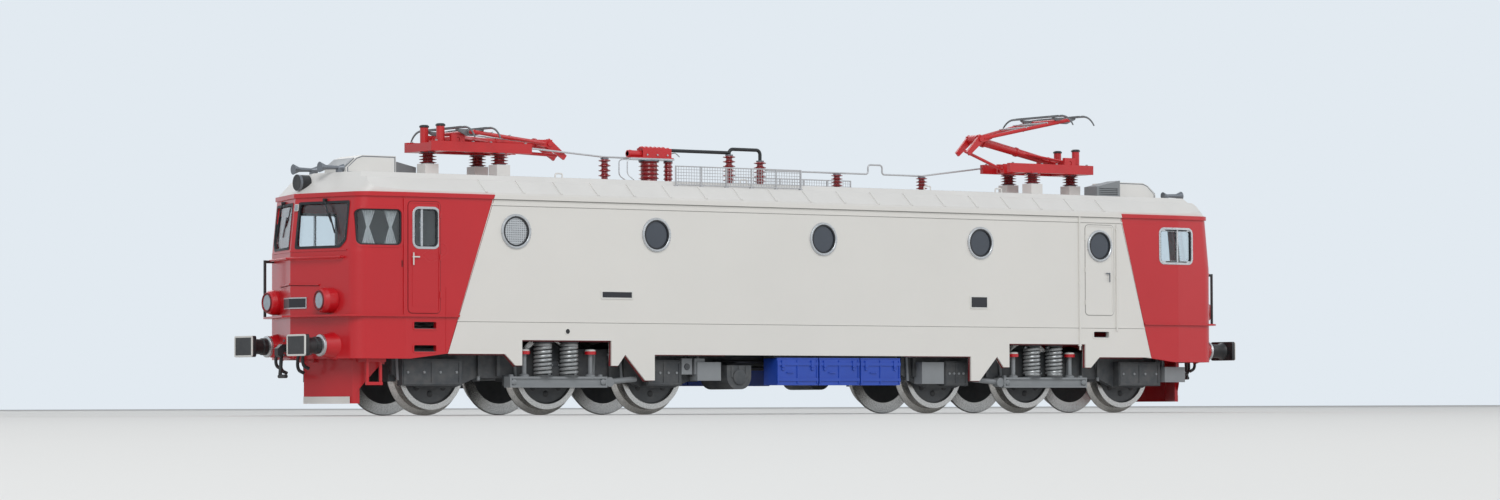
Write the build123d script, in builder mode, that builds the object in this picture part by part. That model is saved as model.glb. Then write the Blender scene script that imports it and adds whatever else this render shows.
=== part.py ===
# A 1:87 scale model of a six-axle electric locomotive, in millimetres.
# X runs along the model, Y across it, Z up. Z = 0 is the plane that the wheel flanges stand on.
# The two ends are alike, half a turn about Z apart, so what belongs to an end is modelled at +X.
# The two pantographs are alike too, but one lies folded and the other stands half raised.
from build123d import *
import math
import os

os.makedirs("parts", exist_ok=True)

# Overall sizes
HALF_OVER_BUFFERS = 113.8
HALF_WIDTH = 17.2
WALL = 1.0
RAIL_TOP = 1.0
SEAM = 0.05

# Plan of the body shell: a shallow prow, a rounded corner, and a cab side that tapers
NOSE_X = 109.3
CORNER_X = 104.6
CORNER_Y = 16.3
TAPER_X = 94.5
CORNER_RADIUS = 3.0
RAKE = 1.2
ROOF_RAKE = 4.0

# Heights of the body shell
SKIRT_Z = 10.6
SKIRT_X = 93.5
SILL_Z = 11.55
SILL_END_X = 85.7
LEDGE_Z = 18.4
LEDGE_THICK = 0.35
LEDGE_OUT = 0.5
LEDGE_FRONT = 1.3
RAKE_START_Z = 30.4
SHELL_TOP_Z = 41.5
GUTTER_HEIGHT = 0.8
GUTTER_OUT = 0.4

# Slanted joints between a cab and the body side: (x above, x below) on the +Y and the -Y side
JOINT_TOP_Z = 41.3
JOINT_LOW_Z = 11.7
CAB_JOINTS = {1: (75.3, 85.4), -1: (78.7, 86.9)}

# Openings over the bogies, with the ears and the traction rod brackets beside them
ARCH_HALF = 10.1
ARCH_TOP_Z = 14.2
EAR_Z = 9.4
EAR_FOOT = 1.5
EAR_SLOPE = 2.3
BRACKET_Z = 6.6
BRACKET_X = (38.8, 41.0, 45.6)

# Bogies and wheels
PIVOT_X = 58.9
OUTER_AXLE = 25.86
INNER_AXLE = -24.14
TREAD_RADIUS = 7.18
FLANGE_DEPTH = RAIL_TOP
FLANGE_WIDTH = 0.8
BACK_TO_BACK_HALF = 7.2
WHEEL_WIDTH = 2.8
RIM_THICK = 1.0
DISC_RECESS = 0.45
HUB_RADIUS = 1.9
HUB_OUT = 0.3
AXLE_RADIUS = 1.0
STUB_RADIUS = 0.75
STUB_END_Y = 11.8
RUNNING_FIT = 0.05
AXLE_Z = RAIL_TOP + TREAD_RADIUS
FRAME_INNER_Y = 11.0
FRAME_OUTER_Y = 12.4
FRAME_TOP_Z = 12.6
FRAME_U = (-34.4, 35.8)
END_BEAMS_U = ((-34.4, -32.7), (34.4, 35.8))
MID_BEAMS_U = ((-15.0, -10.2), (10.2, 15.0))
FRAME_LOW_Z = 5.2
FRAME_ARCH_Z = 7.0
BOLSTER_Z = (10.6, 12.4)
BOLSTER_HALF = 5.5
PIVOT_RADIUS = 2.0
AXLE_LUG_HALF = 3.75
AXLE_ARCH_HALF = 8.2
FRAME_END_RISE = 0.8

# Brake shoes, one on each side of every wheel, hung from the side plates
BRAKE_GAP = 0.35
BRAKE_THICK = 1.5
BRAKE_Y = (7.5, 11.2)
BRAKE_Z = (6.4, 11.4)

# Suspension that shows in the openings: a channel beam with two coil springs and two posts
BEAM_U = (-10.2, 11.8)
BEAM_Y = (13.4, 15.6)
BEAM_Z = (5.24, 7.33)
SPRINGS_U = (-2.1, 3.8)
SPRING_RADIUS = 1.85
SPRING_WIRE = 0.45
SPRING_TURNS = 6
SPRING_TOP_Z = 14.0
SPRING_GAP = 0.3
POSTS_U = (-7.0, 8.0)
POST_RADIUS = 0.45
POST_TOP_Z = 11.6
POST_CAP = (1.0, 0.9)
CHANNEL_DEEP = 0.3
CHANNEL_EDGE = 0.4
ROD_END_U = -17.4
ROD_RADIUS = 0.55
ROD_Z = (6.3, 6.9)
BEAM_STAY_U = 1.2
BEAM_STAY_HALF = 1.0

# Axleboxes and sandboxes of the bogie at +X: (side, u from, u to, z low, z high), with u from the pivot
AXLEBOX_OUT_Y = 14.2
AXLEBOXES = (
    (1, 21.6, 34.6, 5.6, 10.6),
    (-1, 21.6, 33.0, 5.6, 10.6),
    (1, -28.4, -20.2, 5.6, 10.6),
    (-1, -24.6, -18.6, 5.6, 10.6),
)
SANDBOX_OUT_Y = 15.0
SANDBOXES = (
    (-1, 33.6, 39.2, 6.4, 9.6),
    (-1, -31.0, -25.4, 6.0, 10.4),
    (1, -37.2, -31.6, 6.6, 10.2),
)

# Underframe
FLOOR_Z = (17.4, 18.6)
SEAT_U = (-9.0, 10.0)
SEAT_Y = (11.8, 16.1)
SILL_HALF_X = 22.5
SILL_HALF_Y = 8.0
SILL_LOW_Z = 9.6
TANK_X = (14.6, 20.4)
TANK_Y = (6.0, 15.2)
TANK_LOW_Z = 4.9
TANK_RADIUS = 2.5
BATTERY_X = (-20.86, 9.57)
BATTERY_Y = (12.4, 16.9)
BATTERY_Z = (5.7, 11.0)
BATTERY_GAP = 0.3
BATTERY_STRAPS_Z = ((6.5, 7.1), (9.6, 10.2))
STRAP_OUT = 0.2

# Inside: a weight block in the body, and a bulkhead, desk and seats in each cab
WEIGHT_X = 62.0
WEIGHT_Y = 12.0
WEIGHT_TOP_Z = 38.0
BULKHEAD_X = (86.4, 87.2)
BULKHEAD_TOP_Z = 40.6
DESK_X = (98.0, 102.4)
DESK_Y = 14.0
DESK_TOP_Z = 29.0
DESK_SLOPE = 1.2
DESK_EDGE = 1.2
DESK_KNEE = (1.6, 0.8)
SEATS_Y = (-7.5, 7.5)
SEAT_X = (90.4, 94.2)
SEAT_HALF_Y = 2.2
SEAT_THICK = 1.6
SEAT_TOP_Z = 25.0
SEAT_POST_RADIUS = 0.7
BACKREST_THICK = 0.9
BACKREST_TOP_Z = 32.5

# Portholes: x on the near side, which is -Y
PORTHOLE_Z = 34.7
PORTHOLE_RADIUS = 2.7
PORTHOLE_RING = 3.3
GRILLE_X = -70.4
PORTHOLES_X = (-38.4, 1.6, 41.3, 72.9)

# Cab side openings on the near side: centre x, centre z, width, height, corner radius
SIDE_OPENINGS = {
    "front_side_window": (-99.8, 34.95, 9.2, 7.0, 1.1),
    "cab_door_window": (-90.1, 34.95, 5.4, 7.3, 1.1),
    "sliding_window": (94.05, 35.05, 9.1, 7.2, 1.0),
}
STEP_HOLES = {
    "cab_step": (-90.35, 16.8, 4.9, 1.4, 0.3),
    "low_cab_step": (-90.35, 12.5, 4.9, 1.3, 0.3),
    "body_door_step": (73.3, 16.25, 4.2, 1.3, 0.3),
}

# Windscreens: distance from the prow along each facet, and heights
SCREEN_INNER = 1.4
SCREEN_OUTER = 14.0
SCREEN_LOW_Z = 31.4
SCREEN_HIGH_Z = 39.6
SCREEN_RADIUS = 0.7
SCREEN_CUT = 1.3
GLASS_OUT = 0.3
GLASS_IN = 0.8

# Cab front: headlamps, rails, buffers, coupling, plough
LAMP_Y = 9.9
LAMP_Z = 21.4
LAMP_RADIUS = 2.35
LAMP_FACE_X = 108.9
LAMP_BEVEL = (1.2, 0.4, 0.25)
LENS_RADIUS = 1.5
LENS_RECESS = 0.5
GRAB_Z = 29.4
GRAB_OUT = 0.8
GRAB_RADIUS = 0.22
GRAB_INNER_Y = 1.0
CORNER_RAIL_Y = -13.0
CORNER_RAIL_X = 107.5
CORNER_RAIL_TOP_Z = 29.2
CORNER_RAIL_RADIUS = 0.28
BUFFER_Y = 10.06
BUFFER_Z = 13.07
BUFFER_CONE = (2.7, 1.9)
BUFFER_CONE_X = (105.4, 108.3)
COLLAR_RADIUS = 1.9
COLLAR_X = 109.0
SHANK_RADIUS = 1.45
HEAD_THICK = 1.0
HEAD_SIZE = (6.9, 4.0)
HEAD_RADIUS = 0.5
PAD_X = 109.7
PAD_HALF_Y = 2.0
PAD_Z = (10.9, 14.6)
HOOK_THICK = 1.3
HOOK_OUTLINE = ((0, 13.4), (1.6, 13.4), (2.6, 12.6), (2.6, 11.4), (1.9, 10.9), (1.5, 11.6), (1.1, 12.0), (0, 11.8))
LINK_RADIUS = 0.35
LINK_X = (0.8, 1.2)
LINK_Z = (12.6, 7.4)
PLOUGH_THICK = 0.85
PLOUGH_Z = (2.3, 10.6)
PLOUGH_PLAN = ((100.6, -10.2), (106.4, 0.0), (102.0, 10.6), (97.2, 12.6))
PLOUGH_CUTS = ((10.8, 20, 97.2, 102.2), (-20, -9.0, 99.0, 101.8))
PLOUGH_CUT_Z = (9.6, 3.4)
PLOUGH_STAY_X = (97.4, 101.4, 106.0)
PLOUGH_STAY_HALF = 3.0
PLOUGH_STAY_LOW_Z = 10.0
STEP_TOP_Z = 11.6
STEP_X = (98.4, 101.2)
STEP_Y = 14.6
STEP_LOW_Z = 6.0
STEP_BAR = 0.3

# Roof: half of its section as (y, z), and what stands on its flat top
ROOF_SECTION = ((17.2, 41.5), (17.2, 41.9), (14.5, 44.2), (14.1, 44.45), (12.6, 44.45), (11.5, 45.5))
ROOF_TOP_Z = 45.5
WALKWAY_Z = 44.45
RIB_FIRST_X = -76.9
RIB_PITCH = 8.4
RIB_COUNT = 19
RIB_WIDTH = 0.5
RIB_SECTION = ((16.9, 41.7), (17.2, 41.85), (17.32, 42.05), (14.62, 44.35), (14.3, 44.5), (14.2, 43.9))
PEDESTAL_TOP_Z = 48.0
PEDESTAL_SIZE = 3.0
ROOF_BOX_X = (88.8, 97.5, 99.7)
ROOF_BOX_HALF_Y = 4.0
ROOF_BOX_Z = (46.6, 49.0)
LOUVRE_X = (78.9, 85.2)
LOUVRE_Y = (5.2, 9.4)
LOUVRE_Z = (47.6, 49.0)
SLAT_Z = (45.9, 46.3, 46.7, 47.1)
SLAT_DEEP = 0.3
SLAT_HEIGHT = 0.2
SLAT_MARGIN = 0.6
HORN_Y = (-5.0, 5.0)
HORN_Z = 46.4
HORN_X = (100.9, 102.0, 104.6, 105.9)
HORN_RADII = (0.75, 0.35, 0.45, 1.0)
HORN_FOOT_X = (0.3, 1.3)
HORN_FOOT_HALF = 0.4
HORN_FOOT_DEEP = 1.5
ROOF_LAMP_X = (105.6, 108.0)
ROOF_LAMP_Z = 43.65
ROOF_LAMP_RADIUS = 1.5

# Pantograph at +X: the fixed frame
BASE_X = (59.0, 81.6)
BASE_Y = (4.0, 5.0)
BASE_Z = (50.3, 52.2)
INSULATORS_XY = ((65.8, 4.0), (65.8, -4.0), (79.4, 0.0))
INNER_BEAM_X = (62.6, 64.2)
OUTER_BEAM_X = (77.3, 81.6)
BUFFER_POST = (78.4, 3.0, 0.8, 55.2)
ROD_FOOT = (61.2, 50.9)
ROD_FOOT_Y = (0.8, 1.3)
ROD_FOOT_PIN = 0.3
LUG_HALF = 1.5
LUG_THICK = 0.7
LUG_ABOVE = 1.1
BEAM_STEPS = (0.6, 0.3)

# Pantograph linkage in (x, z) at +X, half raised
ARM_FOOT = (75.5, 52.6)
KNEE = (53.6, 57.1)
HEAD_PIVOT = (73.3, 61.5)
ROD_EYE = (51.0, 54.6)
FOLD_DEG = 11.6
UPPER_RATIO = 0.74
ROD_RATIO = 1.87
ARM_BARREL = (0.8, 3.7)
PIN_RADIUS = 0.4
CHEEK_Y = (1.55, 2.1)
KNEE_BARREL = (0.95, 1.25)
ARM_RADII = (0.75, 0.9)
CHEEK_HALF = 0.85
CHEEK_TAPER = 0.6
CHEEK_BACK = 0.6
CHEEK_REACH = 3.0
TAIL_PAST_EYE = 0.9
THRUST_RADIUS = 0.32
THRUST_EYE = (0.65, 0.35, 0.5)
UPPER_TUBE_RADIUS = 0.38
CROSS_TUBE_HALF = 7.0
HANGER_Y = (5.0, 5.6)
HANGER_LOW = (0.9, 0.8)
HANGER_PAST_STRIP = 0.3
STRIP_SPACING = 5.7
STRIP_HALF = 8.0
STRIP_WIDTH = 0.8
STRIP_HEIGHT = 0.45
STRIP_RISE = 0.55
HORN_ARC = (4.5, 58.0)

# High-voltage gear along the middle of the roof
POST_INSULATORS = ((-39.0, 50.4), (17.75, 48.9), (39.56, 48.9))
BUSHINGS = ((-9.1, 52.0), (-1.5, 51.0))
SWITCH_X = (-33.6, -23.4)
SWITCH_Z = (50.3, 50.8, 52.6)
SWITCH_HALF_Y = (1.3, 1.1)
SWITCH_BODY_X = (-30.6, -23.8)
SWITCH_ARM_Z = 51.45
SWITCH_ARM_RADIUS = 0.7
SWITCH_INSULATORS = ((-28.5, 2.0), (-23.9, 0.9))
CABLE_RADIUS = 0.35
CABLE_TOP_Z = 53.1
CABLE_BEND = 0.9
WIRE_RADIUS = 0.18
WIRE_END_Y = 4.5
WIRE_END_DROP = 0.8
WIRE_GAP = 0.15
WIRE_FROM_BUSHING = 1.3
WIRE_LOOP_X = (25.7, 29.3)
WIRE_LOOP_Z = 51.0
WIRE_BEND = 0.6

# Mesh fences along both roof edges: x range on the near side, and heights
FENCE_X = (-31.3, -1.2)
FENCE_Y = 13.4
FENCE_TOP_Z = 48.6
FENCE_PANELS = 5
FENCE_RAILS = 4
FENCE_BAR = 0.3
FENCE_WIRES = 3
FENCE_WIRE = 0.14


def save(builder, label):
    """Labels a finished sub-part and writes it as one STEP file."""
    builder.part.label = label
    export_step(builder.part, f"parts/{label}.step")


def save_both_ends(builder, label):
    """Writes what was modelled at +X as number 2, and the same turned half a turn as number 1."""
    save(builder, f"{label}_2")
    with BuildPart() as turned:
        add(builder.part.rotate(Axis.Z, 180))
    save(turned, f"{label}_1")


def block(x, y, z, mode=Mode.ADD):
    """A box from three (low, high) ranges."""
    with Locations([(sum(x) / 2, sum(y) / 2, sum(z) / 2)]):
        Box(x[1] - x[0], y[1] - y[0], z[1] - z[0], mode=mode)


def bar(start, end, radius, mode=Mode.ADD):
    """A round bar from one point to another."""
    run = Vector(*end) - Vector(*start)
    with BuildSketch(Plane(origin=start, z_dir=run)) as profile:
        Circle(radius)
    extrude(profile.sketch, amount=run.length, mode=mode)


def bent_wire(points, radius, bend):
    """A round wire along straight runs joined by arcs."""
    with BuildLine() as path:
        FilletPolyline(*points, radius=bend)
    start = Plane(origin=path.line @ 0, z_dir=path.line % 0)
    with BuildSketch(start) as profile:
        Circle(radius)
    sweep(profile.sketch, path=path.line)


def xz_plate(points, y_from, y_to, mode=Mode.ADD):
    """A plate with an outline of (x, z) points between two values of y."""
    with BuildSketch(Plane.XZ.offset(-y_from)) as profile:
        with BuildLine():
            Polyline(*points, close=True)
        make_face()
    extrude(profile.sketch, amount=y_from - y_to, mode=mode)


def turned_about_z(x, y, profile, mode=Mode.ADD):
    """A body of revolution about an upright axis, from (radius, z) points that start and end on it."""
    with BuildSketch(Plane(origin=(x, y, 0), x_dir=(1, 0, 0), z_dir=(0, -1, 0))) as half:
        with BuildLine():
            Polyline(*profile, close=True)
        make_face()
    revolve(half.sketch, axis=Axis((x, y, 0), (0, 0, 1)), mode=mode)


def turned_about_x(y, z, profile, mode=Mode.ADD):
    """A body of revolution about a lengthways axis, from (x, radius) points that start and end on it."""
    with BuildSketch(Plane(origin=(0, y, z), x_dir=(1, 0, 0), z_dir=(0, -1, 0))) as half:
        with BuildLine():
            Polyline(*profile, close=True)
        make_face()
    revolve(half.sketch, axis=Axis((0, y, z), (1, 0, 0)), mode=mode)


def shed_profile(z_low, z_high, core, shed, count):
    """Half section of a ribbed insulator, as (radius, z) points."""
    pitch = (z_high - z_low) / (count + 0.5)
    profile = [(0, z_low), (core, z_low)]
    for number in range(count):
        foot = z_low + pitch * (number + 0.25)
        profile += [(core, foot), (shed, foot + 0.25 * pitch), (core, foot + 0.7 * pitch)]
    return profile + [(core, z_high), (0, z_high)]


def plan_face(z, rake=0.0, inset=0.0):
    """The body's plan at height z, with its ends drawn in by rake and all of it drawn in by inset."""
    quarter = [(NOSE_X - rake, 0), (CORNER_X - rake, CORNER_Y), (TAPER_X, HALF_WIDTH)]
    upper = quarter + [(-x, y) for x, y in reversed(quarter)]
    lower = [(x, -y) for x, y in reversed(upper[1:-1])]
    with BuildSketch(Plane.XY.offset(z)) as plan:
        with BuildLine():
            Polyline(*upper, *lower, close=True)
        make_face()
        corners = plan.vertices().filter_by(lambda v: abs(abs(v.Y) - CORNER_Y) < 0.01)
        fillet(corners, CORNER_RADIUS)
        if inset:
            offset(amount=-inset, kind=Kind.INTERSECTION)
    return plan.sketch


def body_volume(inset=0.0, low=BRACKET_Z, high=SHELL_TOP_Z):
    """The whole body as one closed form, drawn in by inset: upright to the windscreens, then raked."""
    with BuildPart(mode=Mode.PRIVATE) as volume:
        with BuildSketch(Plane.XY.offset(low)):
            add(plan_face(0, inset=inset))
        extrude(amount=RAKE_START_Z - low)
        with BuildSketch(Plane.XY.offset(RAKE_START_Z)):
            add(plan_face(0, inset=inset))
        with BuildSketch(Plane.XY.offset(high)):
            add(plan_face(0, rake=RAKE, inset=inset))
        loft()
    return volume.part


def side_prisms(shapes, depth_from, depth_to):
    """Prisms through both side walls. shapes(sign) draws one side's openings, with x already turned."""
    with BuildPart(mode=Mode.PRIVATE) as prisms:
        for sign in (1, -1):
            with BuildSketch(Plane.XZ.offset(sign * depth_from)):
                shapes(sign)
            extrude(amount=sign * (depth_to - depth_from))
    return prisms.part


def rectangle_shapes(sign, table, grow=0.0):
    """Rounded rectangles from a table of centre x, centre z, width, height and corner radius."""
    for x, z, width, height, radius in table.values():
        with Locations((sign * x, z)):
            RectangleRounded(width + 2 * grow, height + 2 * grow, radius + grow)


def disc_shapes(sign, radius, positions):
    """Discs at the portholes' height."""
    for x in positions:
        with Locations((sign * x, PORTHOLE_Z)):
            Circle(radius)


FACET_ANGLE = math.atan2(NOSE_X - CORNER_X, CORNER_Y)


def front_x(y):
    """Where the lower cab front stands at +X, at a distance y from the middle."""
    return NOSE_X - abs(y) * math.tan(FACET_ANGLE)


def screen_plane(end, side):
    """A plane on one half of a cab front: its x runs out from the prow, its z points out of the cab."""
    out = Vector(end * math.cos(FACET_ANGLE), side * math.sin(FACET_ANGLE), 0)
    along = Vector(-end * math.sin(FACET_ANGLE), side * math.cos(FACET_ANGLE), 0)
    return Plane(origin=(end * NOSE_X, 0, 0), x_dir=along, z_dir=out)


def screen_prisms():
    """Prisms through the windscreens. The lower outer corner of each is cut off."""
    with BuildPart(mode=Mode.PRIVATE) as prisms:
        for end in (1, -1):
            for side in (1, -1):
                plane = screen_plane(end, side)
                up = 1 if plane.y_dir.Z > 0 else -1
                with BuildSketch(plane) as screen:
                    with BuildLine():
                        Polyline(
                            (SCREEN_INNER, up * SCREEN_LOW_Z),
                            (SCREEN_OUTER - SCREEN_CUT, up * SCREEN_LOW_Z),
                            (SCREEN_OUTER, up * (SCREEN_LOW_Z + SCREEN_CUT)),
                            (SCREEN_OUTER, up * SCREEN_HIGH_Z),
                            (SCREEN_INNER, up * SCREEN_HIGH_Z),
                            close=True,
                        )
                    make_face()
                    fillet(screen.vertices(), SCREEN_RADIUS)
                extrude(amount=2.0)
                extrude(screen.sketch, amount=-4.0)
    return prisms.part


def window_prisms():
    """Prisms through every glazed opening of the cabs."""
    with BuildPart(mode=Mode.PRIVATE) as prisms:
        add(side_prisms(lambda sign: rectangle_shapes(sign, SIDE_OPENINGS), 14, 19))
        add(screen_prisms())
    return prisms.part


def sill_points():
    """Lower edge of the body from the middle to one end, as (x, z)."""
    outer_arch, inner_arch = PIVOT_X + ARCH_HALF, PIVOT_X - ARCH_HALF
    bracket_inner, bracket_foot, bracket_top = BRACKET_X
    return [
        (0, SILL_Z),
        (bracket_inner, SILL_Z),
        (bracket_inner, BRACKET_Z),
        (bracket_foot, BRACKET_Z),
        (bracket_top, SILL_Z),
        (inner_arch - EAR_FOOT, EAR_Z),
        (inner_arch, EAR_Z),
        (inner_arch, ARCH_TOP_Z),
        (outer_arch, ARCH_TOP_Z),
        (outer_arch, EAR_Z),
        (outer_arch + EAR_FOOT, EAR_Z),
        (outer_arch + EAR_FOOT + EAR_SLOPE, SILL_Z),
        (SILL_END_X, SILL_Z),
        (SKIRT_X, SKIRT_Z),
        (NOSE_X + 5, SKIRT_Z),
    ]


def cab_zone(end, grow=0.0):
    """All that lies past the slanted joints of one end, as a closed form."""
    with BuildPart(mode=Mode.PRIVATE) as zone:
        for side, (x_top, x_low) in CAB_JOINTS.items():
            rise = (x_low - x_top) / (JOINT_TOP_Z - JOINT_LOW_Z)
            x_at_0 = x_low + rise * JOINT_LOW_Z - grow
            x_at_60 = x_at_0 - rise * 60
            outline = [(x_at_0, 0), (x_at_60, 60), (NOSE_X + 9, 60), (NOSE_X + 9, 0)]
            y_range = (0, 30) if side * end > 0 else (-30, 0)
            xz_plate([(end * x, z) for x, z in outline], *y_range)
    return zone.part


# The whole body shell as one hollow form, from which the cabs and the side walls are taken
with BuildPart() as shell:
    add(body_volume())
    with BuildSketch(Plane.XY.offset(SHELL_TOP_Z - GUTTER_HEIGHT)):
        add(plan_face(0, rake=RAKE, inset=-GUTTER_OUT))
    extrude(amount=GUTTER_HEIGHT)
    add(body_volume(inset=WALL, low=BRACKET_Z - 1, high=SHELL_TOP_Z + 1), mode=Mode.SUBTRACT)
    add(window_prisms(), mode=Mode.SUBTRACT)
    add(side_prisms(lambda s: disc_shapes(s, PORTHOLE_RADIUS, PORTHOLES_X), 14, 19), mode=Mode.SUBTRACT)
    add(side_prisms(lambda s: disc_shapes(s, PORTHOLE_RADIUS, (GRILLE_X,)), 14, 19), mode=Mode.SUBTRACT)
    add(side_prisms(lambda s: rectangle_shapes(s, STEP_HOLES), 14, 19), mode=Mode.SUBTRACT)
    right = sill_points()
    left = [(-x, z) for x, z in reversed(right[1:])]
    below = [*left, *right, (NOSE_X + 5, 0), (-NOSE_X - 5, 0)]
    xz_plate(below, -30, 30, mode=Mode.SUBTRACT)

# Cab shells, with what is moulded on them: ledge, lamp housings, buffer bases, coupling pad, grab rails
with BuildPart() as cab_shell:
    add(shell.part)
    add(cab_zone(1), mode=Mode.INTERSECT)
    with BuildPart(mode=Mode.PRIVATE) as ledge:
        with BuildSketch(Plane.XY.offset(LEDGE_Z)):
            add(plan_face(0, rake=-LEDGE_FRONT, inset=-LEDGE_OUT))
            add(plan_face(0, inset=WALL / 2), mode=Mode.SUBTRACT)
        extrude(amount=LEDGE_THICK)
        add(cab_zone(1), mode=Mode.INTERSECT)
    add(ledge.part)
    for side in (1, -1):
        lamp_back_x = front_x(LAMP_Y) - WALL / 2
        turned_about_x(
            side * LAMP_Y,
            LAMP_Z,
            [
                (lamp_back_x, 0),
                (lamp_back_x, LAMP_RADIUS),
                (LAMP_FACE_X - LAMP_BEVEL[0], LAMP_RADIUS),
                (LAMP_FACE_X - LAMP_BEVEL[1], LAMP_RADIUS - LAMP_BEVEL[2]),
                (LAMP_FACE_X, LENS_RADIUS + LAMP_BEVEL[2]),
                (LAMP_FACE_X, LENS_RADIUS),
                (LAMP_FACE_X - LENS_RECESS, LENS_RADIUS),
                (LAMP_FACE_X - LENS_RECESS, 0),
            ],
        )
        turned_about_x(
            side * BUFFER_Y,
            BUFFER_Z,
            [
                (BUFFER_CONE_X[0], 0),
                (BUFFER_CONE_X[0], BUFFER_CONE[0]),
                (BUFFER_CONE_X[1], BUFFER_CONE[1]),
                (BUFFER_CONE_X[1], 0),
            ],
        )
        grab_y = SCREEN_OUTER * math.cos(FACET_ANGLE)
        grab_end = (front_x(grab_y) + GRAB_OUT, side * grab_y, GRAB_Z)
        bar((NOSE_X + GRAB_OUT, 0, GRAB_Z), grab_end, GRAB_RADIUS)
        for stub_y in (GRAB_INNER_Y, grab_y - GRAB_RADIUS):
            stub_back = (front_x(stub_y) - WALL / 2, side * stub_y, GRAB_Z)
            bar(stub_back, (front_x(stub_y) + GRAB_OUT, side * stub_y, GRAB_Z), GRAB_RADIUS)
    block((NOSE_X - WALL, PAD_X), (-PAD_HALF_Y, PAD_HALF_Y), PAD_Z)
save_both_ends(cab_shell, "cab_shell")

# Body sides between the cabs
with BuildPart() as side_wall:
    add(shell.part)
    for end in (1, -1):
        add(cab_zone(end, grow=SEAM), mode=Mode.SUBTRACT)
    block((-NOSE_X, NOSE_X), (-30, 0), (0, 60), mode=Mode.INTERSECT)
save(side_wall, "side_wall_near")
with BuildPart() as far_wall:
    add(side_wall.part.rotate(Axis.Z, 180))
save(far_wall, "side_wall_far")

# Roof: its section run along the body, the ends sloped over the cabs, ribs on its shoulders, pedestals on top
with BuildPart() as roof:
    section = [*ROOF_SECTION, *[(-y, z) for y, z in reversed(ROOF_SECTION)]]
    with BuildSketch(Plane.YZ.offset(-NOSE_X)):
        with BuildLine():
            Polyline(*section, close=True)
        make_face()
    extrude(amount=2 * NOSE_X)
    with BuildPart(mode=Mode.PRIVATE) as roof_ends:
        with BuildSketch(Plane.XY.offset(SHELL_TOP_Z)):
            add(plan_face(0, rake=RAKE))
        with BuildSketch(Plane.XY.offset(ROOF_TOP_Z)):
            add(plan_face(0, rake=RAKE + ROOF_RAKE))
        loft()
    add(roof_ends.part, mode=Mode.INTERSECT)
    with BuildPart(mode=Mode.PRIVATE) as ribs:
        for side in (1, -1):
            for number in range(RIB_COUNT):
                rib_x = -side * (RIB_FIRST_X + number * RIB_PITCH)
                with BuildSketch(Plane.YZ.offset(rib_x - RIB_WIDTH / 2)):
                    with BuildLine():
                        Polyline(*[(side * y, z) for y, z in RIB_SECTION], close=True)
                    make_face()
                extrude(amount=RIB_WIDTH)
    add(ribs.part)
    for end in (1, -1):
        for x, y in INSULATORS_XY:
            half = PEDESTAL_SIZE / 2
            x, y = end * x, end * y
            block((x - half, x + half), (y - half, y + half), (ROOF_TOP_Z, PEDESTAL_TOP_Z))
save(roof, "roof")

# Underframe: floor plate, centre sill, bogie pivots, spring seats, battery hangers
with BuildPart() as underframe:
    with BuildSketch(Plane.XY.offset(FLOOR_Z[0])):
        add(plan_face(0, inset=WALL + SEAM))
    extrude(amount=FLOOR_Z[1] - FLOOR_Z[0])
    block((-SILL_HALF_X, SILL_HALF_X), (-SILL_HALF_Y, SILL_HALF_Y), (SILL_LOW_Z, FLOOR_Z[0]))
    for end in (1, -1):
        pivot = end * PIVOT_X
        bar((pivot, 0, BOLSTER_Z[0]), (pivot, 0, FLOOR_Z[0]), PIVOT_RADIUS)
        for side in (1, -1):
            seat_x = sorted(end * (PIVOT_X + u) for u in SEAT_U)
            seat_y = sorted(side * y for y in SEAT_Y)
            block(seat_x, seat_y, (SPRING_TOP_Z + SPRING_GAP, FLOOR_Z[0]))
        battery_x = sorted(end * x for x in BATTERY_X)
        battery_y = sorted(end * y for y in (BATTERY_Y[0], BATTERY_Y[1] - WALL - SEAM))
        block(battery_x, battery_y, (BATTERY_Z[1], FLOOR_Z[0]))
save(underframe, "underframe")

# Weight and motor, as one plain block on the floor plate
with BuildPart() as weight:
    block((-WEIGHT_X, WEIGHT_X), (-WEIGHT_Y, WEIGHT_Y), (FLOOR_Z[1], WEIGHT_TOP_Z))
save(weight, "motor_and_weight")

# Cab interiors: bulkhead, desk and two seats
with BuildPart() as interior:
    block(BULKHEAD_X, (-HALF_WIDTH + WALL + SEAM, HALF_WIDTH - WALL - SEAM), (FLOOR_Z[1], BULKHEAD_TOP_Z))
    with BuildSketch(Plane.XZ.offset(-DESK_Y)):
        with BuildLine():
            Polyline(
                (DESK_X[0], DESK_TOP_Z - DESK_SLOPE),
                (DESK_X[0], DESK_TOP_Z - DESK_SLOPE - DESK_EDGE),
                (DESK_X[0] + DESK_KNEE[0], DESK_TOP_Z - DESK_SLOPE - DESK_EDGE - DESK_KNEE[1]),
                (DESK_X[0] + DESK_KNEE[0], FLOOR_Z[1]),
                (DESK_X[1], FLOOR_Z[1]),
                (DESK_X[1], DESK_TOP_Z),
                close=True,
            )
        make_face()
    extrude(amount=2 * DESK_Y)
    for seat_y in SEATS_Y:
        across = (seat_y - SEAT_HALF_Y, seat_y + SEAT_HALF_Y)
        block(SEAT_X, across, (SEAT_TOP_Z - SEAT_THICK, SEAT_TOP_Z))
        block((SEAT_X[0], SEAT_X[0] + BACKREST_THICK), across, (SEAT_TOP_Z, BACKREST_TOP_Z))
        post_x = sum(SEAT_X) / 2
        bar((post_x, seat_y, FLOOR_Z[1]), (post_x, seat_y, SEAT_TOP_Z - SEAT_THICK), SEAT_POST_RADIUS)
save_both_ends(interior, "cab_interior")

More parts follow.
